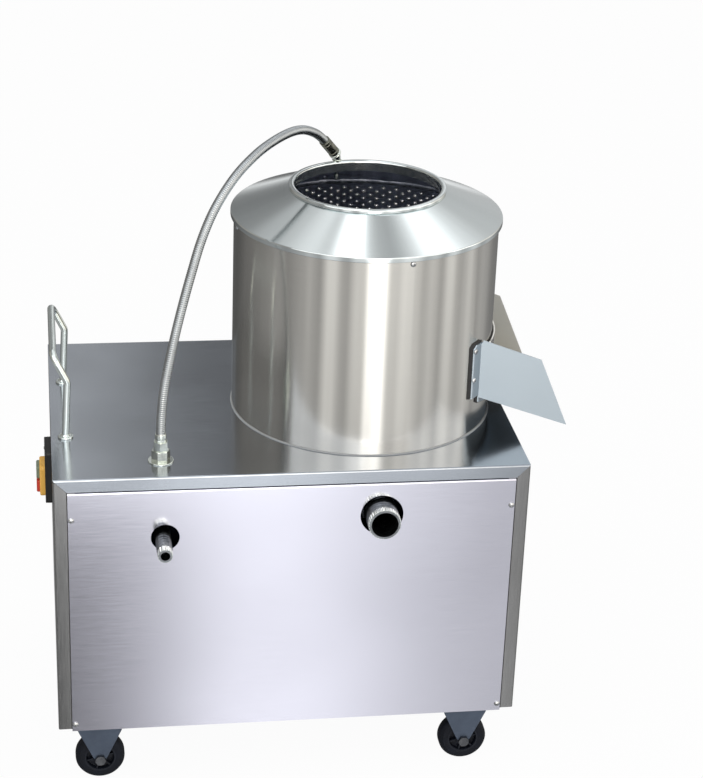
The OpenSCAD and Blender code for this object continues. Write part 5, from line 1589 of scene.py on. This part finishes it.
class PEELER_OT_switch(bpy.types.Operator):
    """Moulds the switch's back box, its bezel and the two buttons"""

    bl_idname = "peeler.switch"
    bl_label = "Switch"

    def execute(self, context):
        shell = [(0, 0.3), (0.3, 0), (6.4, 0), (6.6, 0.45), (7.2, 0.45), (7.4, 0)]
        shell += [(9.0, 0.1), (9.7, 0.6), (10, 1.5)]
        shapes = [block(rounded_box(61, 86, 5, 6), shell, on_switch(0), "switch black")]
        screw = [(0, -9.9), (2.6, -9.9), (2.6, -10.0), (2.1, -10.7), (0, -10.9)]
        for v in (-37, 37):
            shapes.append(lathe(screw, (0, SWITCH_Y, SWITCH_Z + v), "bolt steel", "X", 20))
        piece_of("switch_housing", shapes, "cabinet", ["switch_box"], sharp=50)
        places = {side: on_switch(side * BUTTON_STEP - BEZEL_DROP) for side in (-1, 1)}
        hole = rounded_box(27.8, 19.8, 2.2, 4)
        bezel = [(10, 0), (15.6, 0), (17.2, 0.6), (18, 1.8)]
        piece_of(
            "switch_frame",
            [block(rounded_box(43, 50, 6, 6), bezel, on_switch(-BEZEL_DROP), "bezel yellow")],
            "cabinet",
            ["switch_bezel"],
            sharp=40,
            cutters=[block(hole, [(8, 0), (26, 0)], place, "bezel yellow") for place in places.values()],
        )
        cap = [(14.2, 0.2), (14.4, 0), (21.2, 0), (22.3, 0.6), (22.9, 1.8)]
        for name, finish, slot, side in (
            ("start", "start green", "button_green", 1),
            ("stop", "stop red", "button_red", -1),
        ):
            shape = block(rounded_box(27, 19, 2, 5), cap, places[side], finish)
            piece_of(name + "_cap", [shape], name + "_button", [name + "_button"], sharp=45)
        return {"FINISHED"}


# ---- Casters ----


def fork_shapes(x0, y0):
    """One rigid caster's two cheeks and its plate."""
    half, sheet, cheek, thick = 36, 2.5, 15.5, 3
    drop = BASE_Z - WHEEL_Z
    # Each corner of a cheek from the axle: along, up and how round it is
    corners = [
        (-half, drop, 0), (half, drop, 0), (half - 3, drop - 14, 12), (11, 4, 16), (0, -11, 9.5),
        (-11, 4, 16), (3 - half, drop - 14, 12),
    ]
    outline = rounded([(u, v) for u, v, _ in corners], [fold for _, _, fold in corners], 6)
    levels = [(cheek, 0.4), (cheek + 0.3, 0), (cheek + sheet - 0.4, 0), (cheek + sheet, 0.5)]

    def on_cheek(side):
        return lambda u, v, h: Vector((x0 + u, y0 + side * h, WHEEL_Z + v))

    shapes = [block(outline, levels, on_cheek(side), "caster steel") for side in (-1, 1)]
    plate = rounded_box(2 * half, 2 * (cheek + sheet), 3, 4)
    levels = [(BASE_Z - thick, 0.8), (BASE_Z - thick + 0.6, 0), (BASE_Z, 0)]
    shapes.append(block(plate, levels, lambda u, v, h: Vector((x0 + u, y0 + v, h)), "caster steel"))
    return shapes


def bolt_shapes(x0, y0):
    """The axle bolt with its hexagon head and nut."""
    half, centre = 18, Vector((x0, y0, WHEEL_Z))
    shapes = [rod(centre, 4.9, -half - 3, half + 3, "Y", "dark steel", 32)]
    for s in (-1, 1):
        rings = []
        for h, share in ((half + 0.1, 1.0), (half + 4.2, 1.0), (half + 5, 0.9)):
            rings.append([centre + Vector((x, s * h, z)) for x, z in hexagon(17.5, share)])
        low, high = s * (half + 4.6), s * (half + 4.95)
        end = rounded([(0, low), (4.6, low), (4.6, high), (0, high)], 0.1, 2)
        shapes += [skin(rings, "dark steel"), lathe(end, centre, "dark steel", "Y", 24)]
    return shapes


def rib_shapes(centre):
    """The six ribs of a wheel's hub, from its boss to its rim."""
    thick, wide = 1.1, HUB_HALF - 2.6
    section = ((-thick, -wide), (thick, -wide), (thick, wide), (-thick, wide))
    ribs = []
    for k in range(6):
        a = math.radians(60 * k + 15)
        out, side = Vector((math.cos(a), 0, math.sin(a))), Vector((-math.sin(a), 0, math.cos(a)))
        rings = []
        for reach in (10.6, 20.8):
            middle = Vector(centre) + out * reach
            rings.append([middle + side * u + Vector((0, v, 0)) for u, v in section])
        ribs.append(skin(rings, "wheel black"))
    return ribs


class PEELER_OT_casters(bpy.types.Operator):
    """Makes the four rigid casters: forks, axle bolts, ribbed hubs and rubber tyres"""

    bl_idname = "peeler.casters"
    bl_label = "Casters"

    def execute(self, context):
        forks, bolts = [], []
        for x0, y0 in CASTERS.values():
            forks += fork_shapes(x0, y0)
            bolts += bolt_shapes(x0, y0)
        piece_of("fork_steel", forks, "cabinet", ["caster_forks"], sharp=35)
        piece_of("axle_bolts", bolts, "cabinet", ["caster_axles"], sharp=35)
        w, r = HUB_HALF, WHEEL_R
        hub = mirrored([
            (5, -w), (10, -w), (11, 1 - w), (11.4, -5.6), (12.4, -5), (19.4, -5), (20.4, -5.6), (21, 1.8 - w),
            (21.6, 1 - w), (24, 1 - w),
        ])
        tread = mirrored([
            (24, 1.2 - w), (24.6, 1 - w), (r - 7, 1 - w), (r - 5.4, 1.5 - w), (r - 1.6, 4.6 - w),
            (r - 0.2, 7.4 - w), (r, 9 - w), (r, -2.6), (r - 0.7, -2.2), (r - 0.7, -1.4), (r, -1),
        ])
        for corner, (x0, y0) in CASTERS.items():
            body, centre = corner + "_wheel", (x0, y0, WHEEL_Z)
            hub_shapes = [lathe(hub, centre, "wheel black", "Y", 64)] + rib_shapes(centre)
            piece_of(corner + "_hub", hub_shapes, body, ["wheel_hub_" + corner], sharp=30)
            tyre = lathe(tread, centre, "tyre rubber", "Y", 96)
            piece_of(corner + "_tread", [tyre], body, ["tyre_" + corner], sharp=38)
        return {"FINISHED"}


# ---- Panel and registration ----

ORDER = (
    PEELER_OT_camera,
    PEELER_OT_finishes,
    PEELER_OT_hose,
    PEELER_OT_fittings,
    PEELER_OT_cabinet,
    PEELER_OT_hood,
    PEELER_OT_drum,
    PEELER_OT_screws,
    PEELER_OT_handle,
    PEELER_OT_switch,
    PEELER_OT_casters,
    PEELER_OT_stage,
)


class PEELER_PT_pieces(bpy.types.Panel):
    """Lists the machine's pieces and their settings"""

    bl_idname = "PEELER_PT_pieces"
    bl_label = "Potato peeler"
    bl_space_type = "VIEW_3D"
    bl_region_type = "UI"
    bl_category = "Peeler"

    def draw(self, context):
        for operator in ORDER:
            self.layout.operator(operator.bl_idname)
        for name, kind in SETTINGS.items():
            column = self.layout.column(align=True)
            for prop in kind.__annotations__:
                column.prop(getattr(context.scene, name), prop)


def register():
    for kind in (*SETTINGS.values(), *ORDER, PEELER_PT_pieces):
        bpy.utils.register_class(kind)
    for name, kind in SETTINGS.items():
        setattr(bpy.types.Scene, name, bpy.props.PointerProperty(type=kind))


def unregister():
    for name in SETTINGS:
        delattr(bpy.types.Scene, name)
    for kind in (PEELER_PT_pieces, *reversed(ORDER), *reversed(SETTINGS.values())):
        bpy.utils.unregister_class(kind)


def main():
    register()
    for operator in ORDER:
        group, name = operator.bl_idname.split(".")
        getattr(getattr(bpy.ops, group), name)()
    bpy.context.view_layer.update()


if __name__ == "__main__":
    main()
